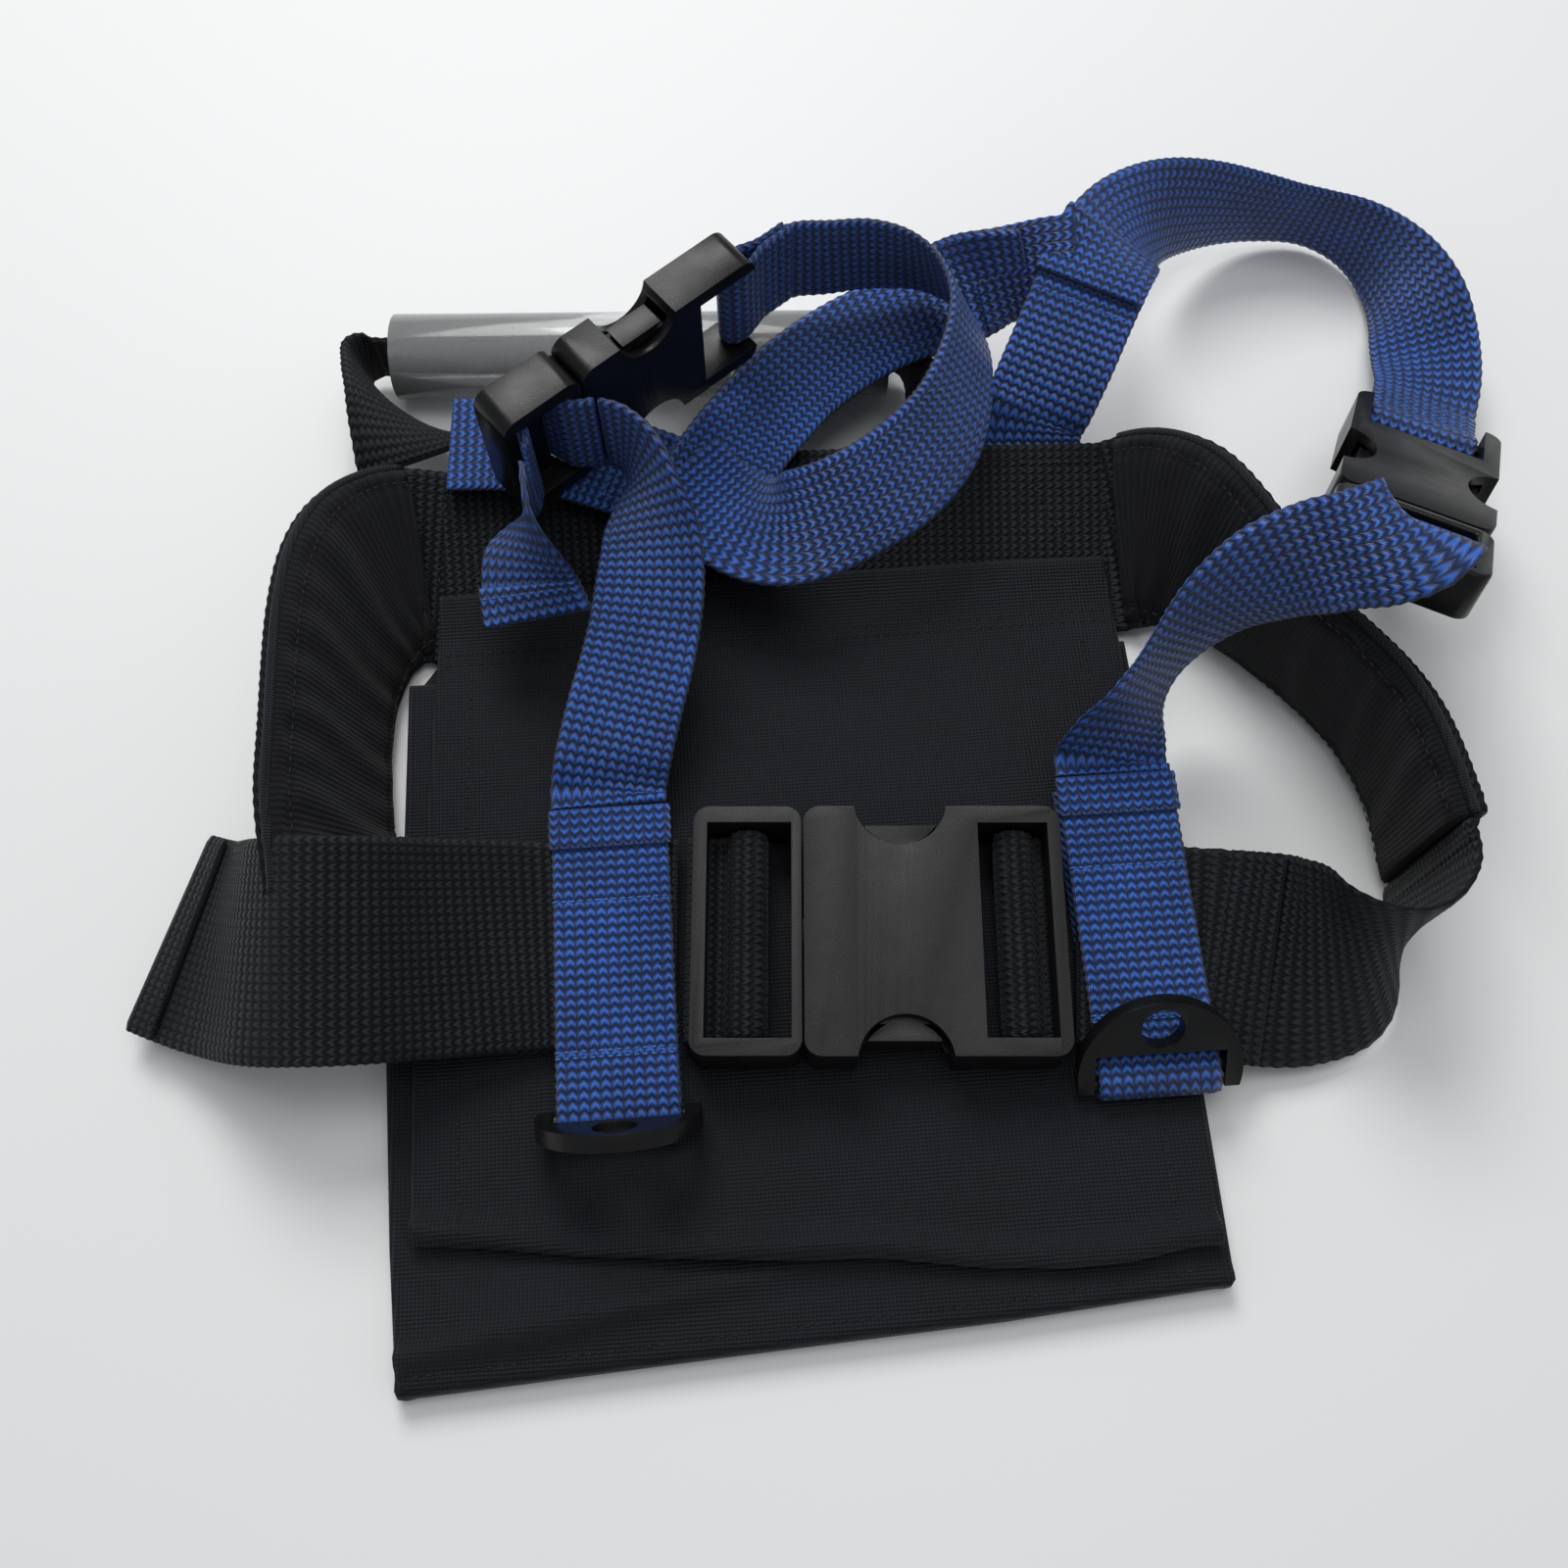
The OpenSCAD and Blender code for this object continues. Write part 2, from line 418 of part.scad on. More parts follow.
back_panel();
front_panel();
pocket_gusset();
flap_upper();
flap_lower();
belt_back_web();
pad_left_web();
pad_left_foam();
pad_left_lining();
pad_right_web();
pad_right_foam();
pad_right_lining();
belt_left_run();
belt_left_wrap();
belt_tail_web();
belt_right_web();
belt_right_wrap();
belt_tongue();
belt_arm_a();
belt_arm_b();
belt_receiver();
sleeve_left();
sleeve_right();
strap_left();
strap_left_tail();
strap_left_ladder();
strap_right();
strap_right_tail();
strap_right_ladder();
ring_left();
ring_right();
upright_left();
upright_right();
cross_middle();
cross_left();
cross_left_end();
cross_right();
cross_right_end();
left_tongue();
left_arm_a();
left_arm_b();
left_receiver();
right_tongue();
right_arm_a();
right_arm_b();
right_receiver();
handle_web();
grip_tube();
grip_strip();
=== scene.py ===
"""Webbing harness with a flap pouch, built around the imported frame."""
import json
import math

import bmesh
import bpy
from mathutils import Matrix, Vector

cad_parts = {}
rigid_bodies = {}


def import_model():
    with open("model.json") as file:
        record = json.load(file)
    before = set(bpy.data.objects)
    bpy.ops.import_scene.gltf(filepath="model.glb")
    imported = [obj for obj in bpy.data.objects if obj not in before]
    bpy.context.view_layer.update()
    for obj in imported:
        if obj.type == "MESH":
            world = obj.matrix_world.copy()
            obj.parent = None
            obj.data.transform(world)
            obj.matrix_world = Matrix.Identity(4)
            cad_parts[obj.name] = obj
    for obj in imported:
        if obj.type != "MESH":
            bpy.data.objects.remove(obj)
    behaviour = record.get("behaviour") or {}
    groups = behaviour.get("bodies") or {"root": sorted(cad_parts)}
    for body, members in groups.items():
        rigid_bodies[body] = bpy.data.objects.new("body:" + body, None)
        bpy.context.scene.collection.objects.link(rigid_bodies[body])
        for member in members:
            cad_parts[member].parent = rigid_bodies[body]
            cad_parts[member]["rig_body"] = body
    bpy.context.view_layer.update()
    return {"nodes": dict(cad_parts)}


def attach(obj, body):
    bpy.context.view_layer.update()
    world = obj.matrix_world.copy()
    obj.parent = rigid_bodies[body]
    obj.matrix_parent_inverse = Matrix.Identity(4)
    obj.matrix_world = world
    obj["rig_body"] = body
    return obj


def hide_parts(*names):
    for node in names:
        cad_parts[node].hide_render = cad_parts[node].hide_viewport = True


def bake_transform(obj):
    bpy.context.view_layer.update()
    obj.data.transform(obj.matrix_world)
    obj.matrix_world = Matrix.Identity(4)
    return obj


bl_info = {
    "name": "Webbing Harness",
    "version": (1, 0, 0),
    "blender": (4, 5, 0),
    "location": "3D Viewport > Sidebar > Harness",
    "description": "Builds a small webbing harness with a flap pouch",
    "category": "Add Mesh",
}

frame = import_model()
MM = 0.001

# Stations in millimetres: x, y, z, turn, lean and, where it changes, width.
ROUTES = {
    "band": [(-89, 101, 12, 90, 22), (-60, 101.5, 12, 90, 22), (-20, 102, 12, 90, 22),
        (20, 101, 12, 90, 22), (60, 99.5, 12, 90, 22), (91.5, 98, 12, 90, 22)],
    "pad_l": [(-91, 101.3, 15, 90, 25), (-95, 99.5, 17.4, 102, 33), (-100, 94, 20.8, 122, 46),
        (-104, 84, 24.4, 144, 60), (-106.5, 71, 26.2, 162, 68), (-107.5, 57, 26.6, 174, 71),
        (-107.5, 43, 26.6, 180, 71), (-107, 29, 26.6, 184, 69)],
    "run_l": [(-106.8, 27.6, 25.8, 186, 67, 48), (-104.5, 17, 25.4, 196, 50, 40),
        (-98, 8, 20, 216, 24, 36), (-88, 1, 16.4, 238, 10, 42), (-77, -3, 13.3, 256, 3, 48),
        (-67, -3.8, 12.5, 266, 0, 50), (-50, -3.6, 12.5, 268, 0, 50), (-28.2, -4.6, 12.5, 266, 0, 50)],
    "pad_r": [(93.6, 98, 15, 90, 25, 50), (98.8, 95.8, 19.4, 84, 35, 50), (105, 89.8, 24, 72, 52, 50),
        (112.4, 80.2, 26.4, 60, 71, 49), (120, 69.4, 25.8, 48, 84, 47), (127.8, 59.4, 25, 36, 90, 46),
        (135.8, 49.2, 25, 26, 91, 46), (142.4, 38.4, 25.3, 16, 91, 47), (146.4, 26.6, 26, 8, 91, 49),
        (148, 14, 26.4, 3, 90, 50), (148.4, 1.6, 26.4, 2, 88, 50)],
    "front_r": [(148.2, 0, 26.2, 2, 88), (146.6, -9, 26.4, 20, 84), (140.6, -18, 26, 58, 77),
        (130, -22.6, 22.8, 82, 56), (118, -21.8, 18.8, 90, 32), (108, -19.2, 16.5, 88, 14),
        (100, -16.8, 15.1, 86, 4), (92, -14.9, 14.9, 86, 0), (66.2, -11.2, 14.9, 86, 0)],
    "tail": [(-28.2, -4.6, 14.9, 266, 0), (-42, -3.8, 14.9, 266, 0), (-57, -3.4, 14.9, 268, 0),
        (-68, -4, 18.9, 268, -4), (-82, -6, 27, 268, -10), (-96, -9, 39, 268, -16),
        (-110, -9.5, 43, 268, -18), (-123, -6.5, 35.5, 266, -12), (-136, 0, 19, 262, -6),
        (-149, 7, 9, 258, 0)],
    "strap_l": [(-43, 29.4, 17.2, 0, 0), (-43, 34, 17.3, 0, 0), (-41, 41, 22, 4, 4),
        (-37.5, 52, 26, 10, 7), (-33.5, 64, 29.5, 18, 12), (-30.5, 76, 33.5, 28, 20),
        (-29, 87, 38, 34, 32), (-29, 97, 42.4, 30, 48), (-29.6, 106, 45.2, 24, 68),
        (-33, 113.4, 46, 60, 84), (-38.6, 117, 46, 80, 90)],
    "strap_r": [(80.5, 29.1, 17.2, 0, 0), (80.7, 33.5, 17.5, 2, -2), (83, 39, 23, 10, -22),
        (86.5, 44, 28, 20, -42), (91.5, 50, 33, 22, -50), (98, 55, 40, 12, -44),
        (106, 59, 49, -8, -32), (115, 61, 57, -30, -24), (124, 60.4, 63.8, -44, -16),
        (132, 58.8, 69.6, -42, -8), (139, 59.2, 72.8, -34, -2), (143.4, 61.2, 72.8, -28, 0),
        (144.9, 63.15, 67.6, -28, 0)],
    "strap_left_tail": [(-57, 103.2, 46, 0, 90), (-58.2, 97.6, 45, 0, 80), (-59.4, 90.6, 41, 0, 58),
        (-59.4, 83.2, 34.4, 0, 34), (-58, 75.6, 28.6, 0, 16)],
    "upright_left": [(-81, 131, 24.2, -96, 0), (-66, 130, 24.2, -100, 0), (-50, 126.5, 24.2, -106, 0),
        (-34, 120, 24.2, -112, 0), (-18, 112, 24.2, -114, 0), (-6, 106.5, 24.2, -114, 0)],
    "upright_right": [(71, 125.6, 25.4, -4, 0), (74, 130, 30, -9, 0), (79, 138, 37, -14, 0),
        (84, 147, 42, -19, 0), (89, 156, 45, -24, 0)],
    "cross_middle": [(-18, 103, 26.2, -32, 0), (-10, 118, 26.2, -32, 0), (0, 132, 25.4, -38, 0),
        (12, 145, 25, -52, 0), (26, 155, 25.1, -66, -1), (40, 160.5, 27.4, -80, -5),
        (53, 163, 32.4, -88, -36), (64, 163, 38, -92, -68), (73, 161.8, 41, -96, -80)],
    "cross_left": [(-22, 116, 28.4, 40, 0), (-12, 104, 28.8, 42, 3), (-2, 95.5, 32, 62, 16),
        (9, 92.5, 37, 84, 38), (22, 95.5, 40.4, 106, 46), (35, 102.5, 42.6, 130, 44),
        (46, 113.5, 44.6, 150, 50), (52.5, 128, 46.6, 168, 58), (54.5, 142, 48, 188, 64),
        (51, 154, 48, 214, 70), (43, 162, 47.6, 240, 78), (32, 165.6, 47, 262, 86),
        (20, 166, 46.2, 290, 89), (13, 166.2, 46, 306, 90)],
    "cross_right": [(89.6, 157.2, 45.3, -25, 0), (96, 168, 45, -31, -24), (105, 178, 39.5, -42, -48),
        (118, 188, 31, -54, -70), (134, 195, 22.6, -70, -86), (150, 197.5, 17.4, -90, -97),
        (164, 195.5, 15.8, -114, -100), (175, 188, 15.6, -134, -90), (182.6, 176, 15.4, -150, -70),
        (186, 164, 14.8, -162, -48), (186.4, 152, 13.2, -174, -26), (184.8, 141.4, 13.8, -190, -8),
        (182.8, 135, 14, -202, 0), (180.6, 130.6, 15.6, -208, 0)],
    "handle_web": [(-88, 130, 20.6, 180, 12, 38), (-92, 137, 20.4, 190, 34, 36),
        (-97, 145.5, 19, 202, 58, 35), (-103, 154.5, 16.4, 214, 74, 30),
        (-107.4, 163, 13.8, 240, 84, 24), (-106, 168.6, 12.2, 256, 88, 19),
        (-100.4, 169.2, 12, 268, 89, 16), (-92, 168.6, 12, 267, 90, 16), (-30, 165, 12, 267, 90, 16),
        (30, 161.6, 12, 267, 90, 16), (39, 161, 12, 267, 90, 16), (42.8, 157.6, 12, 290, 88, 18),
        (44, 150, 12.6, 320, 82, 22), (43.6, 141, 14.6, 346, 62, 29), (42, 133, 16, 354, 34, 34),
        (41, 126.4, 16, 358, 6, 34)],
    "outline": [(-94, 70), (-94.5, 24), (-98, -20), (-96, -70), (-94, -101), (-20, -97), (40, -94),
        (92, -90), (92, -34), (92, 30), (91, 70)],
    "wave": [(-90, -71), (-72, -73), (-52, -76), (-30, -78), (-8, -80), (14, -81), (36, -84.5),
        (56, -86), (70, -85.5), (82, -83.5)],
}

# The left sleeve and its webbing run on a little past the frame's own.
PAD_LEFT_END = [(-105.4, 19.5, 26.2, 190, 66), (-102.5, 11, 25, 202, 57)]

# Where each strap's sleeve sits along the belt, and the height of its top layer.
SLEEVES = (("left", -43, "belt_front_left"), ("right", 80.5, "harness"))
SLEEVE_TOP = 17.2


def sleeve_loop(x):
    """Strap end sewn round the belt: under it, round the fold by the ring and back on top"""
    under = [(y, 10.3) for y in (28, 10, -10, -28, -42)]
    fold = [(-46.5, 11.2), (-48.4, 13.75), (-46.5, 16.3)]
    over = [(y, SLEEVE_TOP) for y in (-42, -28, -10, 10, 28)]
    return [(x, y, z, 0, 0) for y, z in under + fold + over]


def bar_turn(bar, reach, side):
    """Belt webbing that comes in over a buckle bar, goes round it and leaves underneath"""
    round_bar = [(5.4, -1.8), (3.2, 2.2), (0, 3.8), (-3.2, 2.2), (-4.1, -1), (-2.4, -3.8), (0, -4.6)]
    path = [(reach, -2.2), *round_bar, (reach, -4.6)]
    return [(bar + side * x, 0, z, 90, 0) for x, z in path]


def ladder_turn():
    """Strap threaded up through a shoulder buckle's ladder, over its bar and down again"""
    path = [(0.6, -9.6), (-5.3, -5.6), (-7, -1), (-8.5, 2.8), (-11.5, 3.7), (-14.5, 2.8), (-15.9, -1),
            (-16.9, -5.6), (-20.4, -9.6)]
    return [(x, 0, z, 90, 0) for x, z in path]


def sewn_end():
    """Strap end folded round a receiver's bar, with the same shape below and above"""
    half = [(61, 1), (56.6, 2.2), (53, 3.2), (50.6, 3.1), (48.6, 2)]
    path = [(70, -0.95), *((x, -z) for x, z in half), (47.9, 0), *reversed(half), (69, 0.95)]
    return [(x, 0, z, 90, 0) for x, z in path]


def turned(degrees, axis):
    return Matrix.Rotation(math.radians(degrees), 4, axis)


PLACES = {
    "belt": Matrix.Translation((1.5, -6.5, 17.1)) @ turned(-4, "Z"),
    "left": Matrix.Translation((-46, 124.5, 46)) @ turned(36.6, "Z") @ turned(-90, "X"),
    "right": Matrix.Translation((151.4, 75.4, 48.4)) @ turned(62, "Z") @ turned(28, "Y")
    @ turned(180, "X"),
}

# The clear tube on the handle, in millimetres and degrees.
TUBE_AT = (-30.5, 165, 12)
TUBE_TURN = -3.3
TUBE_LENGTH = 136
TUBE_RADIUS = 11.5
TUBE_WALL = 1.7


# ---- sizes and colours a user would change ----
class HarnessWebbing(bpy.types.PropertyGroup):
    """Webbing sizes and colours"""

    belt_width: bpy.props.FloatProperty(
        name="Belt Width", description="Width of the waist webbing", default=0.050, unit="LENGTH")
    strap_width: bpy.props.FloatProperty(
        name="Strap Width", description="Width of the shoulder webbing", default=0.028, unit="LENGTH")
    rib_pitch: bpy.props.FloatProperty(
        name="Rib Pitch", description="Distance from one rib of the weave to the next",
        default=0.0024, unit="LENGTH")
    rib_height: bpy.props.FloatProperty(
        name="Rib Height", description="How far the knuckles stand out", default=0.00016, unit="LENGTH")
    strap_colour: bpy.props.FloatVectorProperty(
        name="Strap Colour", description="Yarn of the shoulder webbing", subtype="COLOR",
        default=(0.0085, 0.037, 0.155))
    belt_colour: bpy.props.FloatVectorProperty(
        name="Belt Colour", description="Yarn of the waist webbing", subtype="COLOR",
        default=(0.0050, 0.0060, 0.0078))


class HarnessPouch(bpy.types.PropertyGroup):
    """Pouch cloth"""

    cloth_colour: bpy.props.FloatVectorProperty(
        name="Cloth Colour", description="Woven nylon of the pouch", subtype="COLOR",
        default=(0.0044, 0.0052, 0.0082))
    thread_gap: bpy.props.FloatProperty(
        name="Thread Pitch", description="Distance between the yarns of the cloth",
        default=0.0009, unit="LENGTH")
    ridge: bpy.props.FloatProperty(
        name="Ridge Height", description="Height of the wave along the flap's free edge",
        default=0.0046, unit="LENGTH")


class HarnessHardware(bpy.types.PropertyGroup):
    """Moulded parts"""

    edge_round: bpy.props.FloatProperty(
        name="Edge Round", description="Rounding of the moulded edges", default=0.0010, unit="LENGTH")
    plastic_colour: bpy.props.FloatVectorProperty(
        name="Plastic Colour", description="Moulded plastic", subtype="COLOR",
        default=(0.0048, 0.0049, 0.0053))


def props(name):
    return getattr(bpy.context.scene, name)


def clamp(value):
    return max(0.0, min(1.0, value))


# ---- node helpers ----
class Net:
    """Shorthand for building one material's nodes"""

    def __init__(self, name):
        self.material = bpy.data.materials.new(name)
        self.material.use_nodes = True
        self.tree = self.material.node_tree
        self.shader = self.tree.nodes["Principled BSDF"]

    def node(self, kind, **inputs):
        n = self.tree.nodes.new(kind)
        for key, value in inputs.items():
            self.plug(value, n.inputs[key.replace("_", " ")])
        return n

    def plug(self, value, socket):
        if isinstance(value, bpy.types.NodeSocket):
            self.tree.links.new(value, socket)
        else:
            socket.default_value = value

    def math(self, op, a, b=0.0, c=0.0):
        n = self.tree.nodes.new("ShaderNodeMath")
        n.operation = op
        for value, socket in zip((a, b, c), n.inputs):
            self.plug(value, socket)
        return n.outputs[0]

    def ramp(self, fac, *stops):
        n = self.tree.nodes.new("ShaderNodeValToRGB")
        self.plug(fac, n.inputs[0])
        while len(n.color_ramp.elements) < len(stops):
            n.color_ramp.elements.new(0.5)
        for element, (at, colour) in zip(n.color_ramp.elements, stops):
            element.position = at
            element.color = (*colour, 1)
        return n.outputs[0]

    def coordinates(self, which):
        n = self.tree.nodes.new("ShaderNodeTexCoord")
        split = self.node("ShaderNodeSeparateXYZ", Vector=n.outputs[which])
        return n.outputs[which], split.outputs

    def noise(self, vector, scale, detail=3.0):
        n = self.node("ShaderNodeTexNoise", Vector=vector, Scale=scale, Detail=detail)
        return n.outputs["Fac"]

    def mix(self, fac, a, b, blend="MIX"):
        n = self.tree.nodes.new("ShaderNodeMix")
        n.data_type = "RGBA"
        n.blend_type = blend
        self.plug(fac, n.inputs[0])
        self.plug(a, n.inputs[6])
        self.plug(b, n.inputs[7])
        return n.outputs[2]

    def wave(self, value, pitch):
        """A sine that repeats every pitch metres"""
        return self.math("SINE", self.math("MULTIPLY", value, math.tau / pitch))

    def centred(self, value, by):
        """A value from 0 to 1, moved to lie round nothing and scaled"""
        return self.math("MULTIPLY", self.math("SUBTRACT", value, 0.5), by)

    def bump(self, height, distance, strength=1.0, under=None):
        n = self.node("ShaderNodeBump", Height=height, Distance=distance, Strength=strength)
        if under is not None:
            self.plug(under, n.inputs["Normal"])
        return n.outputs["Normal"]

    def surface(self, **inputs):
        for key, value in inputs.items():
            self.plug(value, self.shader.inputs[key.replace("_", " ")])
        return self.material


def shade(colour, by):
    return tuple(clamp(c * by) for c in colour)


def webbing_material(name, yarn, column, pitch, crest_highlight, dip_shade, rough, silky, shine):
    """Woven tape: columns of knuckles along the length, read from the piece's own UV in metres"""
    net = Net(name)
    vector, (u, v, _) = net.coordinates("UV")
    across = net.math("SUBTRACT", net.math("FRACT", net.math("DIVIDE", v, column)), 0.5)
    side = net.math("ABSOLUTE", across)
    lean = net.math("MULTIPLY", side, 0.9)
    along = net.math("FRACT", net.math("ADD", net.math("DIVIDE", u, pitch), lean))
    knuckle = net.math("SINE", net.math("MULTIPLY", along, math.pi))
    edge = net.math("COSINE", net.math("MULTIPLY", across, math.pi))
    body = net.math("MULTIPLY", net.math("POWER", knuckle, 1.2), net.math("POWER", edge, 0.45))
    twist = net.wave(net.math("ADD", net.math("MULTIPLY", v, 6.0), u), 0.0021)
    strand = net.math("MULTIPLY_ADD", twist, 0.10, body)
    drift = net.noise(vector, 55.0, 4.0)
    tone = net.math("ADD", strand, net.centred(drift, 0.5))
    # colour: painted highlight on the knuckle crests and painted shade in the dips between them, over
    # random drift in tone
    colour = net.ramp(tone, (0.10, shade(yarn, dip_shade)), (0.50, yarn), (0.86, shade(yarn, crest_highlight)),
                      (1.0, shade(yarn, crest_highlight * 1.35)))
    fuzz = net.noise(vector, 900.0, 2.0)
    normal = net.bump(net.math("MULTIPLY_ADD", fuzz, 0.25, strand), 0.0007, 0.85)
    gloss = net.math("MULTIPLY_ADD", net.math("SUBTRACT", 1.0, body), 0.25, rough)
    return net.surface(Base_Color=colour, Roughness=gloss, Normal=normal, Sheen_Weight=silky,
                       Sheen_Roughness=0.4, Specular_IOR_Level=shine)


def cloth_material(name, yarn, pitch, crest_highlight=2.1):
    """Plain weave nylon on Object coordinates"""
    net = Net(name)
    vector, (x, y, _) = net.coordinates("Object")
    fold = net.noise(vector, 260.0, 3.0)
    shift = net.math("MULTIPLY", fold, pitch * 0.5)
    sx = net.math("ADD", net.math("ADD", x, y), shift)
    sy = net.math("ADD", net.math("SUBTRACT", y, x), shift)
    crossed = net.math("MULTIPLY", net.wave(sx, pitch * 2.0), net.wave(sy, pitch * 2.0))
    weave = net.math("MULTIPLY_ADD", crossed, 0.5, 0.5)
    drift = net.noise(vector, 22.0, 5.0)
    tone = net.math("MULTIPLY_ADD", net.math("SUBTRACT", drift, 0.5), 0.7, weave)
    # colour: painted highlight on the yarn crossings and painted shade in the hollows of the weave, over
    # random drift in tone
    colour = net.ramp(tone, (0.15, shade(yarn, 0.45)), (0.55, yarn), (0.95, shade(yarn, crest_highlight)))
    height = net.math("MULTIPLY_ADD", net.noise(vector, 1500.0, 2.0), 0.3, weave)
    crease = net.bump(net.noise(vector, 34.0, 4.0), 0.004, 0.35)
    normal = net.bump(height, 0.0004, 0.8, crease)
    rough = net.math("MULTIPLY_ADD", drift, 0.2, 0.58)
    return net.surface(Base_Color=colour, Roughness=rough, Normal=normal, Sheen_Weight=0.05,
                       Sheen_Roughness=0.5, Specular_IOR_Level=0.24)


def plastic_material(name, base, rough, grain, relief):
    """Moulded plastic with a fine spark-eroded grain and a few handling marks"""
    net = Net(name)
    vector, _ = net.coordinates("Object")
    fine = net.noise(vector, grain, 2.0)
    marks = net.noise(vector, 160.0, 6.0)
    colour = net.mix(net.math("MULTIPLY", marks, 0.5), (*base, 1), (*shade(base, 1.8), 1))
    gloss = net.math("ADD", net.centred(marks, 0.22), net.math("MULTIPLY_ADD", fine, 0.12, rough))
    normal = net.bump(fine, relief, 0.55, net.bump(net.noise(vector, 60.0, 1.0), 0.0006, 0.12))
    return net.surface(Base_Color=colour, Roughness=gloss, Normal=normal, Specular_IOR_Level=0.24)


def knit_material(name, yarn):
    """Fine knitted lining: rows of small loops"""
    net = Net(name)
    vector, (u, v, _) = net.coordinates("UV")
    zig = net.math("ABSOLUTE", net.wave(v, 0.0011))
    loops = net.wave(net.math("MULTIPLY_ADD", zig, 0.0004, u), 0.0013)
    knit = net.math("MULTIPLY_ADD", net.math("MULTIPLY", zig, loops), 0.5, 0.5)
    drift = net.noise(vector, 70.0, 4.0)
    tone = net.math("MULTIPLY_ADD", net.math("SUBTRACT", drift, 0.5), 0.6, knit)
    # colour: painted highlight on the loops and painted shade between them, over random drift in tone
    colour = net.ramp(tone, (0.1, shade(yarn, 0.5)), (0.6, yarn), (1.0, shade(yarn, 2.2)))
    normal = net.bump(knit, 0.0004, 0.7, net.bump(drift, 0.003, 0.3))
    rough = net.math("MULTIPLY_ADD", drift, 0.15, 0.72)
    return net.surface(Base_Color=colour, Roughness=rough, Normal=normal, Sheen_Weight=0.06,
                       Sheen_Roughness=0.6, Specular_IOR_Level=0.12)


def thread_material(name, yarn, rough=0.5):
    """Twisted sewing thread, and the ink of the ticks"""
    net = Net(name)
    vector, (x, y, z) = net.coordinates("Object")
    twist = net.wave(net.math("ADD", net.math("ADD", x, y), z), 0.0006)
    drift = net.noise(vector, 400.0, 2.0)
    colour = net.mix(drift, (*shade(yarn, 0.6), 1), (*shade(yarn, 1.4), 1))
    return net.surface(Base_Color=colour, Normal=net.bump(twist, 0.0001, 0.6),
                       Roughness=net.math("MULTIPLY_ADD", drift, 0.2, rough))


def material(name):
    """The named finish, made the first time it is asked for"""
    found = bpy.data.materials.get(name)
    if found:
        return found
    w, p, h = props("harness_webbing"), props("harness_pouch"), props("harness_hardware")
    strap, belt = tuple(w.strap_colour), tuple(w.belt_colour)
    makers = {
        "blue webbing": lambda: webbing_material(
            name, strap, w.strap_width / 11, w.rib_pitch, 2.9, 0.30, 0.27, 0.10, 0.50),
        "black webbing": lambda: webbing_material(
            name, belt, w.belt_width / 25, w.rib_pitch, 2.8, 0.40, 0.46, 0.05, 0.17),
        "pouch cloth": lambda: cloth_material(name, tuple(p.cloth_colour), p.thread_gap),
        "bound edge": lambda: cloth_material(name, shade(p.cloth_colour, 1.1), 0.0007, 2.4),
        "knit lining": lambda: knit_material(name, (0.0042, 0.0046, 0.006)),
        "buckle plastic": lambda: plastic_material(
            name, tuple(h.plastic_colour), 0.36, 2600.0, 0.00012),
        "smooth plastic": lambda: plastic_material(
            name, shade(h.plastic_colour, 0.9), 0.25, 1800.0, 0.00005),
        "blue thread": lambda: thread_material(name, (0.05, 0.15, 0.42)),
        "black thread": lambda: thread_material(name, (0.0035, 0.0035, 0.0045)),
        "printed strip": lambda: strip_material(name),
        "red ink": lambda: thread_material(name, (0.30, 0.012, 0.018), 0.45),
        "clear vinyl": lambda: vinyl_material(name),
    }
    return makers[name]()


def strip_material(name):
    """Off-white printed paper, a little uneven"""
    net = Net(name)
    vector, _ = net.coordinates("Object")
    drift = net.noise(vector, 60.0, 4.0)
    colour = net.mix(drift, (0.86, 0.85, 0.82, 1), (0.70, 0.69, 0.67, 1))
    return net.surface(Base_Color=colour, Normal=net.bump(drift, 0.0002, 0.3),
                       Roughness=net.math("MULTIPLY_ADD", drift, 0.2, 0.35))


def vinyl_material(name):
    """Clear flexible tube, slightly hazed by handling"""
    net = Net(name)
    vector, _ = net.coordinates("Object")
    drift = net.noise(vector, 45.0, 3.0)
    colour = net.mix(drift, (0.96, 0.97, 0.97, 1), (0.90, 0.92, 0.92, 1))
    return net.surface(Base_Color=colour, Transmission_Weight=0.86, IOR=1.38,
                       Roughness=net.math("MULTIPLY_ADD", drift, 0.08, 0.06),
                       Normal=net.bump(drift, 0.0006, 0.15))


# ---- routes ----
SAMPLES = 20  # points measured between two stations of a route


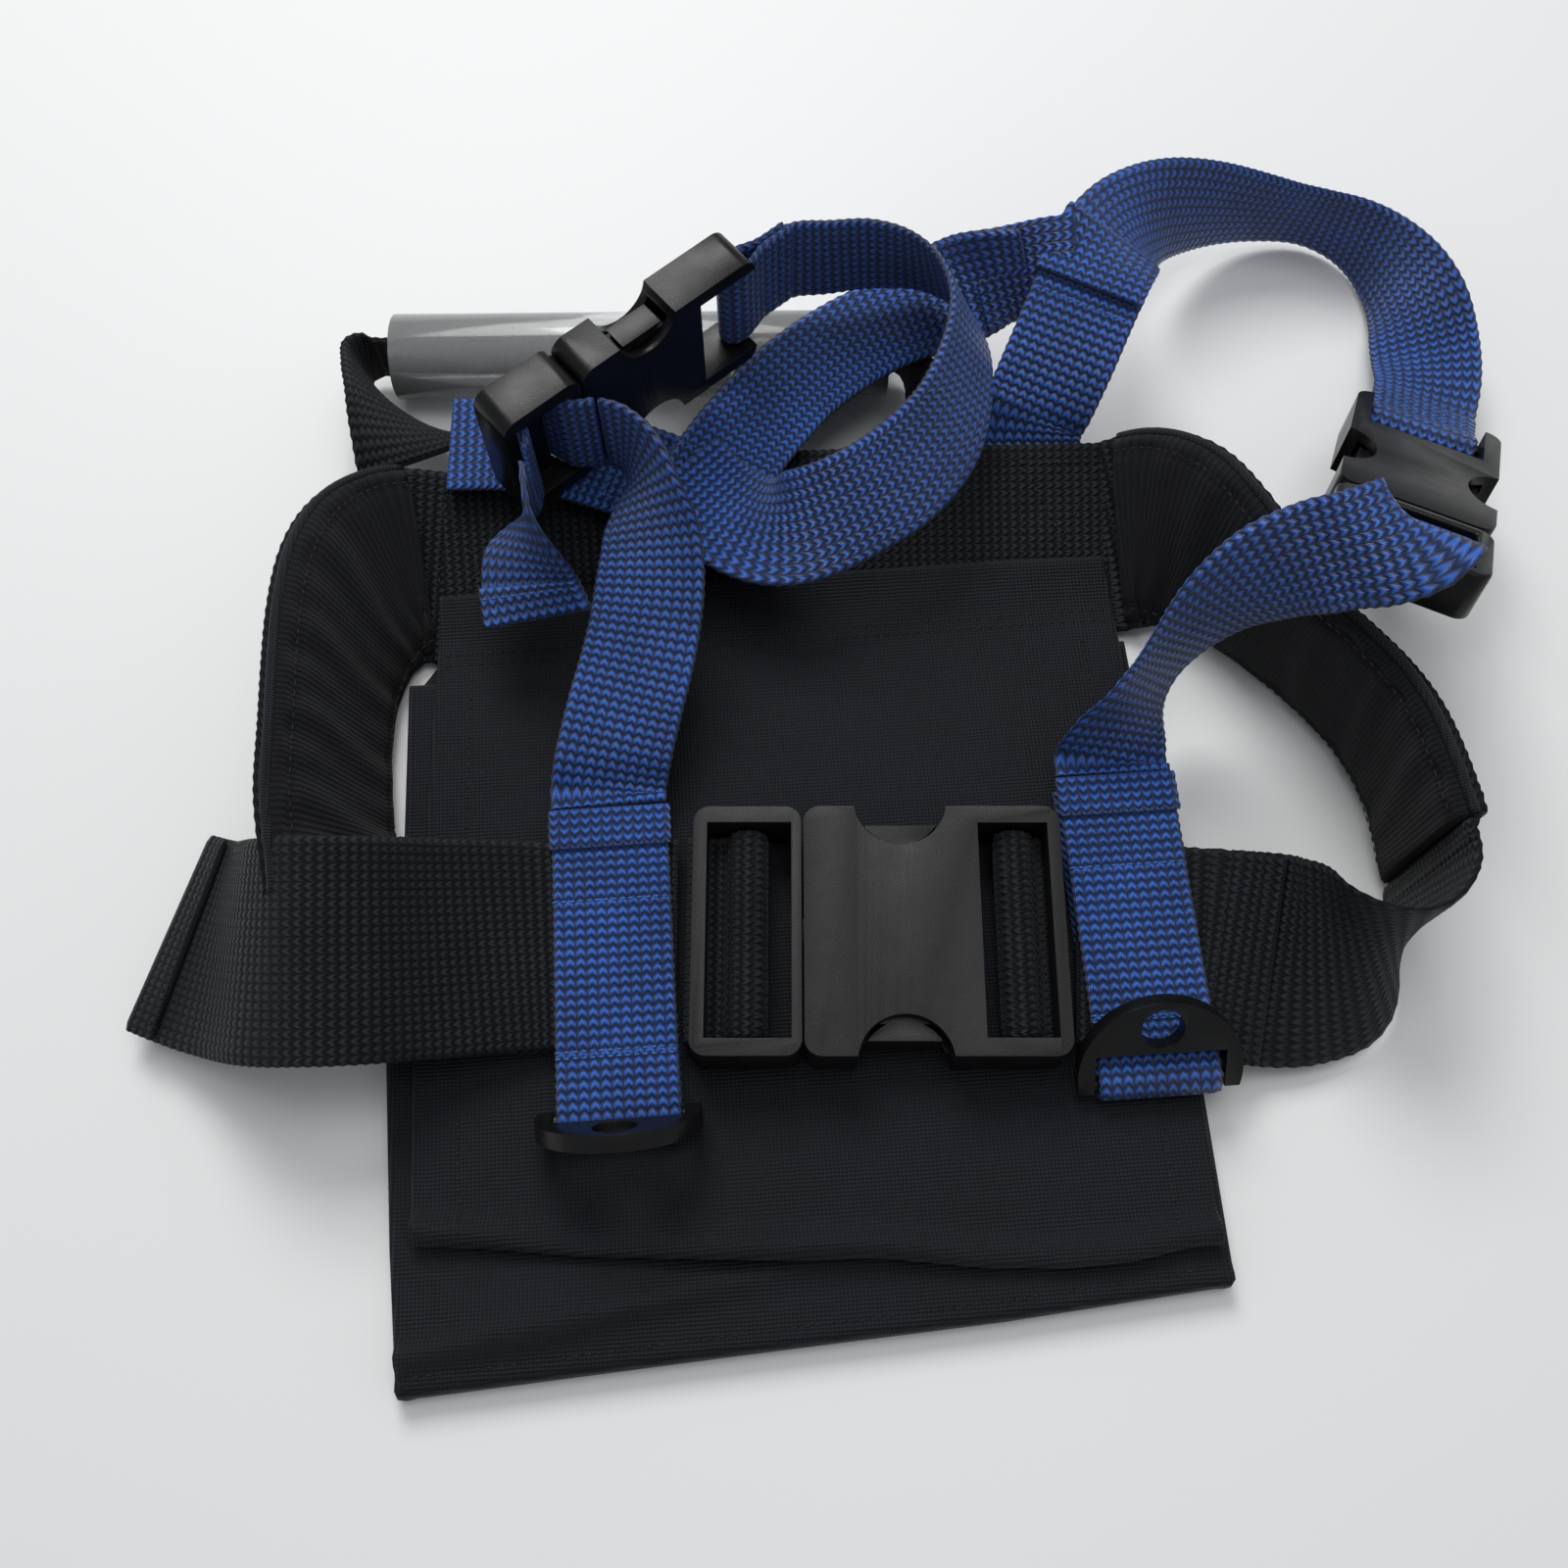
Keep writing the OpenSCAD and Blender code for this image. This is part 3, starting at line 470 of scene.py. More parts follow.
class Route:
    """A smooth path through stations, with the webbing's direction across at each point"""

    def __init__(self, stations, width, place=None):
        self.stations = [list(s) for s in stations]
        self.width = width
        self.place = place
        spans = len(self.stations) - 1
        self.steps = [k / SAMPLES for k in range(spans * SAMPLES + 1)]
        points = [self.point(u) for u in self.steps]
        self.reached = [0.0]
        for a, b in zip(points, points[1:]):
            self.reached.append(self.reached[-1] + (b - a).length)
        self.length = self.reached[-1]

    def value(self, u):
        """Every number of the stations, smoothly between them"""
        spans = len(self.stations) - 1
        i = min(int(u), spans - 1)
        t = u - i
        a, b, c, d = (self.stations[max(0, min(spans, i + k))] for k in (-1, 0, 1, 2))
        return [0.5 * (2 * q + (r - o) * t + (2 * o - 5 * q + 4 * r - e) * t * t
                       + (3 * q - o - 3 * r + e) * t ** 3) for o, q, r, e in zip(a, b, c, d)]

    def point(self, u):
        return Vector(self.value(u)[:3])

    def at(self, s):
        """Centre, across, normal and half width, in metres, at a distance along in mm"""
        lo, hi = 0, len(self.reached) - 1
        while hi - lo > 1:
            k = (lo + hi) // 2
            lo, hi = (k, hi) if self.reached[k] <= s else (lo, k)
        share = (s - self.reached[lo]) / max(1e-9, self.reached[hi] - self.reached[lo])
        u = self.steps[lo] + (self.steps[hi] - self.steps[lo]) * clamp(share)
        top = len(self.stations) - 1
        tangent = (self.point(min(top, u + 0.05)) - self.point(max(0, u - 0.05))).normalized()
        v = self.value(u)
        turn, lean = math.radians(v[3]), math.radians(v[4])
        w = Vector((math.cos(lean) * math.cos(turn), math.cos(lean) * math.sin(turn), math.sin(lean)))
        across = (w - tangent * w.dot(tangent)).normalized()
        normal = tangent.cross(across)
        half = (v[5] if len(v) > 5 else self.width) / 2
        centre = Vector(v[:3])
        if self.place:
            centre = self.place @ centre
            turned = self.place.to_3x3()
            across, normal = turned @ across, turned @ normal
        return centre * MM, across, normal, half * MM

    def on(self, s, v, height):
        """Point and normal on the webbing: s along, v across from the middle, height above, in mm"""
        centre, across, normal, _ = self.at(s)
        return centre + across * v * MM + normal * height * MM, normal


def finish_piece(name, bm, finish, body, nodes=(), recalc=True):
    """Turn a bmesh into a named piece with its finish, body and the nodes it replaces"""
    if recalc:
        bmesh.ops.recalc_face_normals(bm, faces=bm.faces)
    mesh = bpy.data.meshes.new(name)
    bm.to_mesh(mesh)
    bm.free()
    mesh.materials.append(material(finish))
    for face in mesh.polygons:
        face.use_smooth = True
    piece = bpy.data.objects.new(name, mesh)
    bpy.context.scene.collection.objects.link(piece)
    if body:
        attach(piece, body)
    if nodes:
        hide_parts(*nodes)
    return piece


def swept(bm, route, ring, step, raise_by=None, start=0.0, end=None):
    """A closed skin along a route. ring holds (across -1 to 1, height mm, distance round mm)"""
    end = route.length if end is None else end
    rows = max(4, 2 * round((end - start) / step / 2))
    columns = len(ring)
    made = bmesh.ops.create_grid(bm, x_segments=columns, y_segments=rows, size=1)["verts"]
    layer = bm.loops.layers.uv.verify()
    place = {}
    for k, vert in enumerate(made):
        row, col = divmod(k, columns + 1)
        s = start + (end - start) * row / rows
        if col == 0:
            centre, across, normal, half = route.at(s)
        x, h, around = ring[col] if col < columns else (*ring[0][:2], ring[-1][2] + ring[1][2])
        wide, high = raise_by(row, col % columns, x, h, s) if raise_by else (0, 0)
        vert.co = centre + across * (x * half + wide * MM) + normal * (h + high) * MM
        place[vert] = (s * MM, around * MM)
    for face in {f for vert in made for f in vert.link_faces}:
        for loop in face.loops:
            loop[layer].uv = place[loop.vert]
    seam = [v for k, v in enumerate(made) if k % (columns + 1) in (0, columns)]
    ends = [v for k, v in enumerate(made) if k < columns + 1 or k >= rows * (columns + 1)]
    bmesh.ops.remove_doubles(bm, verts=seam, dist=1e-6)
    ends = [v for v in ends if v.is_valid]
    rim = {e for v in ends for e in v.link_edges if e.is_boundary}
    bmesh.ops.holes_fill(bm, edges=list(rim), sides=0)


def flat_ring(columns, width, lo, hi):
    """Cross-section of a tape with soft edges"""
    upper, under = [], []
    for j in range(columns + 1):
        x = -1 + 2 * j / columns
        soft = (hi - lo) * (0.32 if j in (0, columns) else 0.0)
        upper.append((x, hi - soft, width * j / columns))
        under.append((x, lo + soft, width * (2 - j / columns)))
    return upper + under[::-1]


def tape(name, stations, width, lo, hi, finish, body, nodes=(), place=None,
         start=0.0, end=None, columns=None):
    """Woven tape: every second row and column stands proud, and the selvage is scalloped"""
    w = props("harness_webbing")
    route = Route(ROUTES[stations] if isinstance(stations, str) else stations, width, place)
    columns = columns or (22 if width < 40 else 26)
    relief = w.rib_height / MM
    step = w.rib_pitch / MM / 2

    def knuckle(row, col, x, h, s):
        up = 1 if col <= columns else -1
        proud = relief * (row % 2) * (1 if col % 2 else 0.55) - relief * 0.4
        wide = (0.22 if row % 2 else -0.05) * x if abs(x) > 0.99 else 0
        return wide, up * proud

    bm = bmesh.new()
    swept(bm, route, flat_ring(columns, width, lo, hi), step, knuckle, start, end)
    return finish_piece(name, bm, finish, body, nodes)


def stitched(name, runs, finish, body, length=1.9, pitch=2.7, thick=0.26):
    """Short raised stitches along lines of (point, normal) samples"""
    bm = bmesh.new()
    for run in runs:
        gone = 0.0
        for (a, up), (b, _) in zip(run, run[1:]):
            span = (b - a).length / MM
            along = (b - a).normalized()
            while gone < span:
                here = a + along * gone * MM
                cross = up.cross(along).normalized()
                turn = Matrix((along, cross, up)).transposed().to_4x4()
                size = Matrix.Diagonal((length / 2 * MM, thick * MM, thick * 0.8 * MM, 1))
                bmesh.ops.create_icosphere(
                    bm, subdivisions=1, radius=1, matrix=Matrix.Translation(here) @ turn @ size)
                gone += pitch
            gone -= span
    return finish_piece(name, bm, finish, body, recalc=False)


def line_on(route, points, height, parts=12):
    """Samples of a line drawn on webbing between (along, across) points in mm"""
    run = []
    for (s0, v0), (s1, v1) in zip(points, points[1:]):
        for k in range(parts + 1):
            t = k / parts
            p, n = route.on(s0 + (s1 - s0) * t, v0 + (v1 - v0) * t, height)
            run.append((p, n if height > 0 else -n))
    return run


# ---- pieces ----
class HARNESS_OT_pouch(bpy.types.Operator):
    """Back, front, bound edge and flap of the pouch"""

    bl_idname = "harness.pouch"
    bl_label = "Pouch"

    def execute(self, context):
        p = context.scene.harness_pouch
        # tops of the front and of the flap, and how far a stitch stands off its cloth
        front_z, flap_z, thread_lift = 7.1, 7.5, 0.06
        # side edges as (y, x) points, and the lower edge as (x, y) points
        left = [(93, -86), (80, -86.5), (70, -94), (24, -94.5), (-20, -98), (-70, -96), (-102, -94)]
        right = [(93, 88), (80, 89), (70, 91), (24, 92), (-34, 92), (-90, 92), (-102, 92)]
        flap_left = [(93, -86), (80, -86.5), (70, -87), (24, -89), (-20, -91), (-52, -91.5), (-90, -90)]
        flap_right = [(93, 88), (80, 89), (70, 89.5), (24, 91), (-20, 91.5), (-52, 91.5), (-90, 90)]
        bottom = [(-94, -101), (-20, -97), (40, -94), (92, -90)]

        def between(table, key):
            """Value at key along a table of (key, value) points"""
            table = sorted(table)
            for (a, va), (b, vb) in zip(table, table[1:]):
                if key <= b or (b, vb) == table[-1]:
                    return va + (vb - va) * clamp((key - a) / (b - a))
            return table[-1][1]

        def crease(x, y):
            """Slow undulation of the cloth"""
            return (0.30 * math.sin(x * 0.071 + y * 0.043) + 0.22 * math.sin(x * 0.031 - y * 0.083 + 2)
                    + 0.16 * math.sin(x * 0.15 + y * 0.11 + 1))

        def gusset_fold(x, y):
            """Bulge and fold at the lower left corner of the front"""
            line = -97.5 + (x + 92) * 0.155
            fade = clamp((14 - x) / 60)
            bulge = 3.2 * math.exp(-((x + 62) / 26) ** 2 - ((y + 86) / 7.5) ** 2)
            return fade * 3.4 * math.exp(-((y - line - 4) / 2.6) ** 2) + bulge

        def front_lift(x, y):
            """The fold, easing in over the lowest part of the front"""
            return gusset_fold(x, y) * clamp((-60 - y) / 14)

        def sheet(name, cols, rows, y_top, y_low, lefts, rights, z, lift, nodes, thick):
            """Cloth panel between two side edges, y_low being its lower edge at each x"""
            bm = bmesh.new()
            made = bmesh.ops.create_grid(bm, x_segments=cols, y_segments=rows, size=1)["verts"]
            for k, vert in enumerate(made):
                row, col = divmod(k, cols + 1)
                share = 1 - row / rows
                guess = -90 + 180 * col / cols
                y = y_top + (y_low(guess) - y_top) * share
                x0, x1 = between(lefts, y), between(rights, y)
                x = x0 + (x1 - x0) * col / cols
                vert.co = Vector((x, y, z + lift(x, y))) * MM
            bmesh.ops.recalc_face_normals(bm, faces=bm.faces)
            if sum(f.normal.z for f in bm.faces) < 0:
                bmesh.ops.reverse_faces(bm, faces=bm.faces)
            bmesh.ops.solidify(bm, geom=bm.faces[:], thickness=thick * MM)
            return finish_piece(name, bm, "pouch cloth", None, nodes)

        back = sheet("pouch_back", 60, 60, 92, lambda x: between(bottom, x), left, right, 1.2,
                     lambda x, y: 0.0, ("back_panel",), 1.2)
        front = sheet("pouch_front", 96, 90, 70, lambda x: between(bottom, x), left, right, front_z,
                      front_lift, ("front_panel",), 1.0)
        for piece in (back, front):
            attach(piece, "harness")

        top = [(x, y + 1.0) for x, y in ROUTES["wave"]]

        def flap_lift(x, y):
            """Height of the flap over its base: rise at the top, ridge, hem, seams and creases"""
            near = y - between(top, x)
            high = 2.8 * clamp((y - 79) / 13) ** 1.3
            wobble = 0.75 + 0.35 * math.sin(x * 0.06 + 1.2)
            ridge = p.ridge / MM * wobble * math.exp(-((near - 3.4) / 3.0) ** 2)
            hem = 0.55 if near < 1.6 else 0.0
            side = min(x + 92, 92 - x)
            seam = -0.25 * math.exp(-((side - 11) / 1.2) ** 2) if y < 70 else 0
            tent = 0.9 * math.exp(-((y + 30) / 20) ** 2) * math.exp(-(x / 60) ** 2)
            return 1.2 + high + ridge + hem + seam + crease(x, y) * 0.8 + 0.45 - tent * 0.3

        flap = sheet("pouch_flap", 120, 130, 93, lambda x: between(top, x), flap_left, flap_right,
                     flap_z, flap_lift, ("flap_upper", "flap_lower"), 1.0)
        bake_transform(flap)

        edge = []
        corners = ROUTES["outline"]
        for (x0, y0), (x1, y1) in zip(corners, corners[1:]):
            n = max(2, round(math.hypot(x1 - x0, y1 - y0) / 4))
            edge += [(x0 + (x1 - x0) * k / n, y0 + (y1 - y0) * k / n, 3.6, 90, 90)
                     for k in range(0 if not edge else 1, n + 1)]
        bm = bmesh.new()
        route = Route(edge, 7.0)
        ring = [(math.cos(math.tau * k / 12), 0.95 * math.sin(math.tau * k / 12), 1.4 * k)
                for k in range(12)]
        swept(bm, route, ring, 1.2)
        finish_piece("pouch_bound_edge", bm, "bound edge", "harness", ("pocket_gusset",))

        up = Vector((0, 0, 1))

        def drawn(points):
            """Samples of a line drawn on the flap"""
            run = []
            for (x0, y0), (x1, y1) in zip(points, points[1:]):
                n = max(2, int(math.hypot(x1 - x0, y1 - y0) / 3))
                for k in range(n + 1):
                    x, y = x0 + (x1 - x0) * k / n, y0 + (y1 - y0) * k / n
                    z = flap_z + flap_lift(x, y) + thread_lift
                    run.append((Vector((x, y, z)) * MM, up))
            return run

        seams = [drawn([(-78, 70), (-80.5, -20), (-81, -50)]), drawn([(80, 70), (81.5, -20), (81.5, -50)]),
                 drawn([(-84, 74), (0, 75), (87, 75.5)]), drawn([(-84, 77), (0, 78), (87, 78.5)])]
        stitched("seam_stitches", seams, "black thread", "harness")
        hem = [drawn([(-81, -50), (-80, -68)]), drawn([(81.5, -50), (81, -80)])]
        stitched("flap_side_stitches", hem, "black thread", "flap")

        low = []
        for k in range(60):
            x = -90 + 180 * k / 59
            y = between(bottom, x) + 3.4
            low.append((Vector((x, y, front_z + front_lift(x, y) + thread_lift)) * MM, up))
        stitched("hem_stitches", [low], "black thread", "harness")
        return {"FINISHED"}


class HARNESS_OT_belt(bpy.types.Operator):
    """Waist webbing: band behind, free tail, front run and the two turns round the buckle bars"""

    bl_idname = "harness.belt"
    bl_label = "Waist Belt"

    def execute(self, context):
        w = context.scene.harness_webbing.belt_width / MM
        black, slot, h = "black webbing", "black_webbing", 0.9
        tape("belt_band", "band", w, -h, h, black, "harness", ("belt_back_web",))
        outer = ROUTES["pad_l"] + PAD_LEFT_END
        tape("belt_pad_left", outer, w, 2.3, 4.1, black, "harness", ("pad_left_web",))
        tape("belt_pad_right", "pad_r", w, -4.1, -2.3, black, "harness", ("pad_right_web",))
        run = tape("belt_run_left", "run_l", w, -h, h, black, None, ("belt_left_run",))
        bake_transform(run)
        tape("belt_tail", "tail", w, -h, h, black, "belt_front_left", ("belt_tail_web",))
        tape("belt_front_right", "front_r", w, -h, h, black, "harness", ("belt_right_web",))
        tape("belt_turn_left", bar_turn(-13, 14.6, -1), w, -h, h, black, "belt_front_left",
             ("belt_left_wrap",), PLACES["belt"])
        tape("belt_turn_right", bar_turn(50.63, 11.97, 1), w, -h, h, black, "harness",
             ("belt_right_wrap",), PLACES["belt"])

        def joined(name, first, s0, lift0, second, s1, lift1):
            """Webbing carried over from near the end of one run to the start of the next"""
            ends = []
            for key, s, lift in ((first, s0, lift0), (second, s1, lift1)):
                route = Route(ROUTES[key], w)
                s = s if s >= 0 else route.length + s
                for at in (s - 1.5, s + 1.5):
                    centre, across, _, half = route.at(at)
                    point = route.on(at, 0, lift)[0] / MM
                    turn = math.degrees(math.atan2(across.y, across.x))
                    lean = math.degrees(math.asin(max(-1, min(1, across.z))))
                    ends.append([*point, turn, lean, 2 * half / MM])
            for k in range(1, 4):
                while ends[k][3] - ends[k - 1][3] > 180:
                    ends[k][3] -= 360
                while ends[k][3] - ends[k - 1][3] < -180:
                    ends[k][3] += 360
            tape(name, ends, w, -h + 0.03, h + 0.03, black, "harness", ())

        joined("belt_join_left", "band", 3, 0, "pad_l", 4, 3.2)
        joined("belt_join_right", "band", -3, 0, "pad_r", 4, -3.2)
        joined("belt_join_front", "pad_r", -4, -3.2, "front_r", 4, 0)

        # folded hem at the free end, and the doubled end by the receiver
        tail = Route(ROUTES["tail"], w)
        tape("belt_tail_hem", "tail", w - 0.4, h + 0.1, h + 1.7, black, "belt_front_left",
             (), start=tail.length - 9, end=tail.length - 0.3)
        front = Route(ROUTES["front_r"], w)
        tape("belt_front_hem", "front_r", w - 0.6, -h - 1.7, -h - 0.1, black, "harness",
             (), start=front.length - 46, end=front.length - 30)
        n = front.length - 31
        runs = [line_on(front, [(n - 2.5, -22), (n - 2.5, 22)], -h - 1.75),
                line_on(front, [(n - 11, -22), (n - 11, 22)], -h - 1.75)]
        stitched("belt_hem_stitches", runs, "black thread", "harness")
        runs = [line_on(tail, [(tail.length - 7.5, -22), (tail.length - 7.5, 22)], h + 1.75)]
        stitched("tail_hem_stitches", runs, "black thread", "belt_front_left")

        band = Route(ROUTES["band"], w)
        side = 1 if band.at(50)[2].z > 0 else -1
        high = side * (h + 0.12)
        runs = []
        for s0, s1 in ((3, 24), (band.length - 24, band.length - 3)):
            runs += [line_on(band, [(s0, -20), (s1, -20), (s1, 20), (s0, 20), (s0, -20)], high),
                     line_on(band, [(s0, -20), (s1, 20)], high), line_on(band, [(s0, 20), (s1, -20)], high)]
        for v in (-22, 21):
            runs.append(line_on(band, [(24, v), (band.length - 24, v)], high, 60))
        stitched("band_stitches", runs, "black thread", "harness")
        return {"FINISHED"}


class HARNESS_OT_sleeves(bpy.types.Operator):
    """Padded sleeves inside the belt, with their piping"""

    bl_idname = "harness.sleeves"
    bl_label = "Padded Sleeves"

    def execute(self, context):
        width, columns = 49, 34
        for side, key, sign, nodes in (
                ("left", "pad_l", -1, ("pad_left_foam", "pad_left_lining")),
                ("right", "pad_r", 1, ("pad_right_foam", "pad_right_lining"))):
            more = PAD_LEFT_END if side == "left" else []
            route = Route([s[:5] for s in ROUTES[key]] + more, width)
            ring = []
            for j in range(columns + 1):
                x = -1 + 2 * j / columns
                crown = (1 - abs(x) ** 5) ** 0.5
                seam = 0.9 * math.exp(-((abs(x) - 0.84) / 0.035) ** 2)
                ring.append((x * 0.985, sign * (0.2 + 3.2 * crown - seam), width * j / columns))
            for j in range(columns, -1, -1):
                x = -1 + 2 * j / columns
                under = -sign * 2.1 * (1 - abs(x) ** 8) ** 0.5
                ring.append((x * 0.985, under, width * (2 - j / columns)))

            def gather(row, col, x, h, s):
                """Puckers of the lining between its seams"""
                if col > columns:
                    return 0, 0
                middle = 1 - min(1.0, abs(x)) ** 3
                pucker = (0.42 * math.sin(s * 0.62 + 1.4 * math.sin(x * 3)) * (0.35 + abs(x))
                          + 0.38 * math.sin(s * 0.31 + x * 2.2 + 0.8))
                return 0, sign * (pucker - 0.3) * (0.4 + 0.6 * middle) * (1 if abs(x) < 0.9 else 0.4)

            bm = bmesh.new()
            swept(bm, route, ring, 1.2, gather)
            pad = finish_piece(f"sleeve_padding_{side}", bm, "knit lining", "harness", nodes)

            bm = bmesh.new()
            for v in (-1, 1):
                bead = [(v + 0.052 * math.cos(math.tau * k / 8),
                         -sign * 0.9 + 1.25 * math.sin(math.tau * k / 8), k) for k in range(8)]
                swept(bm, route, bead, 1.4)
            finish_piece(f"sleeve_piping_{side}", bm, "bound edge", "harness", ())
            runs = [line_on(route, [(2, v), (route.length - 2, v)], sign * 2.9, 70)
                    for v in (-20.6, 20.6)]
            stitched(f"sleeve_stitches_{side}", runs, "black thread", "harness")
        return {"FINISHED"}


class HARNESS_OT_shoulder_straps(bpy.types.Operator):
    """Blue straps: sleeves round the belt, long runs, tails and the turns in the buckles"""

    bl_idname = "harness.shoulder_straps"
    bl_label = "Shoulder Straps"

    def execute(self, context):
        w = context.scene.harness_webbing.strap_width / MM
        blue, slot, h = "blue webbing", "blue_webbing", 0.8
        for side, x, body in SLEEVES:
            tape(f"sleeve_loop_{side}", sleeve_loop(x), w, -h, h, blue, body, (f"sleeve_{side}",))
        left = tape("shoulder_left", "strap_l", w, -h, h, blue, None, ("strap_left",))
        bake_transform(left)
        tape("shoulder_left_tail", "strap_left_tail", w, -h, h, blue, "harness",
             ("strap_left_tail",))
        right = tape("shoulder_right", "strap_r", w, -h, h, blue, None, ("strap_right",))
        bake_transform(right)
        tape("shoulder_left_turn", ladder_turn(), w, -h, h, blue, "harness",
             ("strap_left_ladder",), PLACES["left"])
        tape("shoulder_right_turn", ladder_turn(), w, -h, h, blue, "right_tongue",
             ("strap_right_ladder", "strap_right_tail"), PLACES["right"], start=7.5)

        tail = Route(ROUTES["strap_left_tail"], w)
        tape("shoulder_left_hem", "strap_left_tail", w - 0.5, h + 0.1, h + 1.6, blue, "harness",
             (), start=tail.length - 9, end=tail.length - 0.2)
        stitched("shoulder_left_hem_stitches",
                 [line_on(tail, [(tail.length - 7, -12), (tail.length - 7, 12)], h + 1.7)],
                 "blue thread", "harness")

        # rows of thread that close each sleeve round the belt
        up = Vector((0, 0, 1))
        for side, x, body in SLEEVES:
            runs = []
            for y in (26.6, 25.2, 5.5, -30.5, -32):
                runs.append([(Vector((x - 13.4 + 26.8 * k / 12, y, SLEEVE_TOP + h + 0.12)) * MM, up)
                             for k in range(13)])
            stitched(f"sleeve_loop_stitches_{side}", runs, "blue thread", body, 1.7, 2.0, 0.3)
        for side, x, body in SLEEVES:
            patch = [(x, y, SLEEVE_TOP, 0, 0) for y in (28.6, 24, 18.6)]
            tape(f"sleeve_loop_fold_{side}", patch, w + 1.2, h + 0.05, h + 0.9, blue, body, ())
        return {"FINISHED"}


class HARNESS_OT_back_straps(bpy.types.Operator):
    """Uprights on the back band and the straps that cross above it"""

    bl_idname = "harness.back_straps"
    bl_label = "Back Straps"

    def execute(self, context):
        w = context.scene.harness_webbing.strap_width / MM
        blue, slot, h = "blue webbing", "blue_webbing", 0.8
        tucked = [(70.2, 115.5, 16.6, -2, 0), (70.5, 121.5, 19.8, -3, 0), (71.2, 126.2, 25.2, -4, 0)]
        paths = {"upright_left": ROUTES["upright_left"], "cross_middle": ROUTES["cross_middle"],
                 "upright_right": tucked + ROUTES["upright_right"][1:],
                 "cross_right": ROUTES["cross_right"] + [(178.6, 126.6, 17.9, -208, 0)]}
        for name, path in paths.items():
            tape(f"back_{name}", path, w, -h, h, blue, "harness", (name,))
        path = ROUTES["cross_left"] + [(8.4, 164.9, 46, 308, 90)]
        loop = tape("back_cross_left", path, w, -h, h, blue, None, ("cross_left",))
        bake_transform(loop)
        tape("end_cross_left", sewn_end(), w, -h, h, blue, "left_receiver",
             ("cross_left_end",), PLACES["left"])
        tape("end_cross_right", sewn_end(), w, -h, h, blue, "harness",
             ("cross_right_end",), PLACES["right"])

        fold = [(86.6, 152.4, 46.0, -22, 0), (89.2, 157, 46.9, -25, 0), (92.4, 162.4, 47.2, -28, -6),
                (95.6, 167.6, 46.8, -31, -20)]
        tape("back_fold", fold, w + 1.2, -h, h, blue, "harness", ())
        lap = [(60, 163.4, 36.4, -90, -52), (68, 162.6, 40, -92, -66), (76, 161, 43, -88, -56),
               (84, 158.6, 46.0, -70, -24)]
        tape("back_lap", lap, w - 2, -h, h, blue, "harness", ())
        runs = []
        middle = Route(ROUTES["upright_left"], w)
        side = 1 if middle.at(middle.length - 10)[2].z > 0 else -1
        end = middle.length
        for s0, v0, s1, v1 in ((end - 34, -11, end - 4, 11), (end - 34, 11, end - 4, -11),
                               (end - 34, -11, end - 34, 11), (end - 4, -11, end - 4, 11),
                               (end - 34, -11, end - 4, -11), (end - 34, 11, end - 4, 11)):
            runs.append(line_on(middle, [(s0, v0), (s1, v1)], side * 3.1))
        right = Route(ROUTES["upright_right"], w)
        side = 1 if right.at(20)[2].z > 0 else -1
        for s in (right.length - 3, right.length - 8):
            runs.append(line_on(right, [(s, -12), (s, 12)], side * (h + 0.12)))
        stitched("cross_stitches", runs, "blue thread", "harness", 1.7, 2.1, 0.3)

        for side, body in (("left", "left_receiver"), ("right", "harness")):
            sewn = Route(sewn_end(), w, PLACES[side])
            runs = [line_on(sewn, [(s, -12), (s, 12)], -sgn * (h + 0.12))
                    for s in (3, 7.5) for sgn in (1, -1)]
            stitched(f"end_stitches_{side}", runs, "blue thread", body, 1.7, 2.0, 0.3)
        return {"FINISHED"}


class HARNESS_OT_moulded(bpy.types.Operator):
    """Buckles and rings with rounded moulded edges"""

    bl_idname = "harness.moulded"
    bl_label = "Buckles And Rings"

    def execute(self, context):
        radius = context.scene.harness_hardware.edge_round
        for prefix, finish in (("belt", "buckle plastic"), ("left", "smooth plastic"),
                               ("right", "smooth plastic"), ("ring", "smooth plastic")):
            for node, source in frame["nodes"].items():
                part = node.startswith(prefix + "_") and node.endswith(
                    ("_tongue", "_receiver", "_arm_a", "_arm_b")) or (
                    prefix == "ring" and node.startswith("ring_"))
                if not part:
                    continue
                bm = bmesh.new()
                bm.from_mesh(source.data)
                bmesh.ops.remove_doubles(bm, verts=bm.verts, dist=1e-6)
                bmesh.ops.dissolve_limit(bm, angle_limit=math.radians(1.5), verts=bm.verts,
                                         edges=bm.edges)
                piece = finish_piece(f"moulded_{node}", bm, finish, source["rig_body"],
                                     (node,), recalc=False)
                soft = piece.modifiers.new("Soft Edges", "BEVEL")
                soft.width = radius if "arm" not in node else radius * 0.5
                soft.segments = 3
                soft.limit_method = "ANGLE"
                soft.angle_limit = math.radians(32)
                soft.harden_normals = True
        return {"FINISHED"}


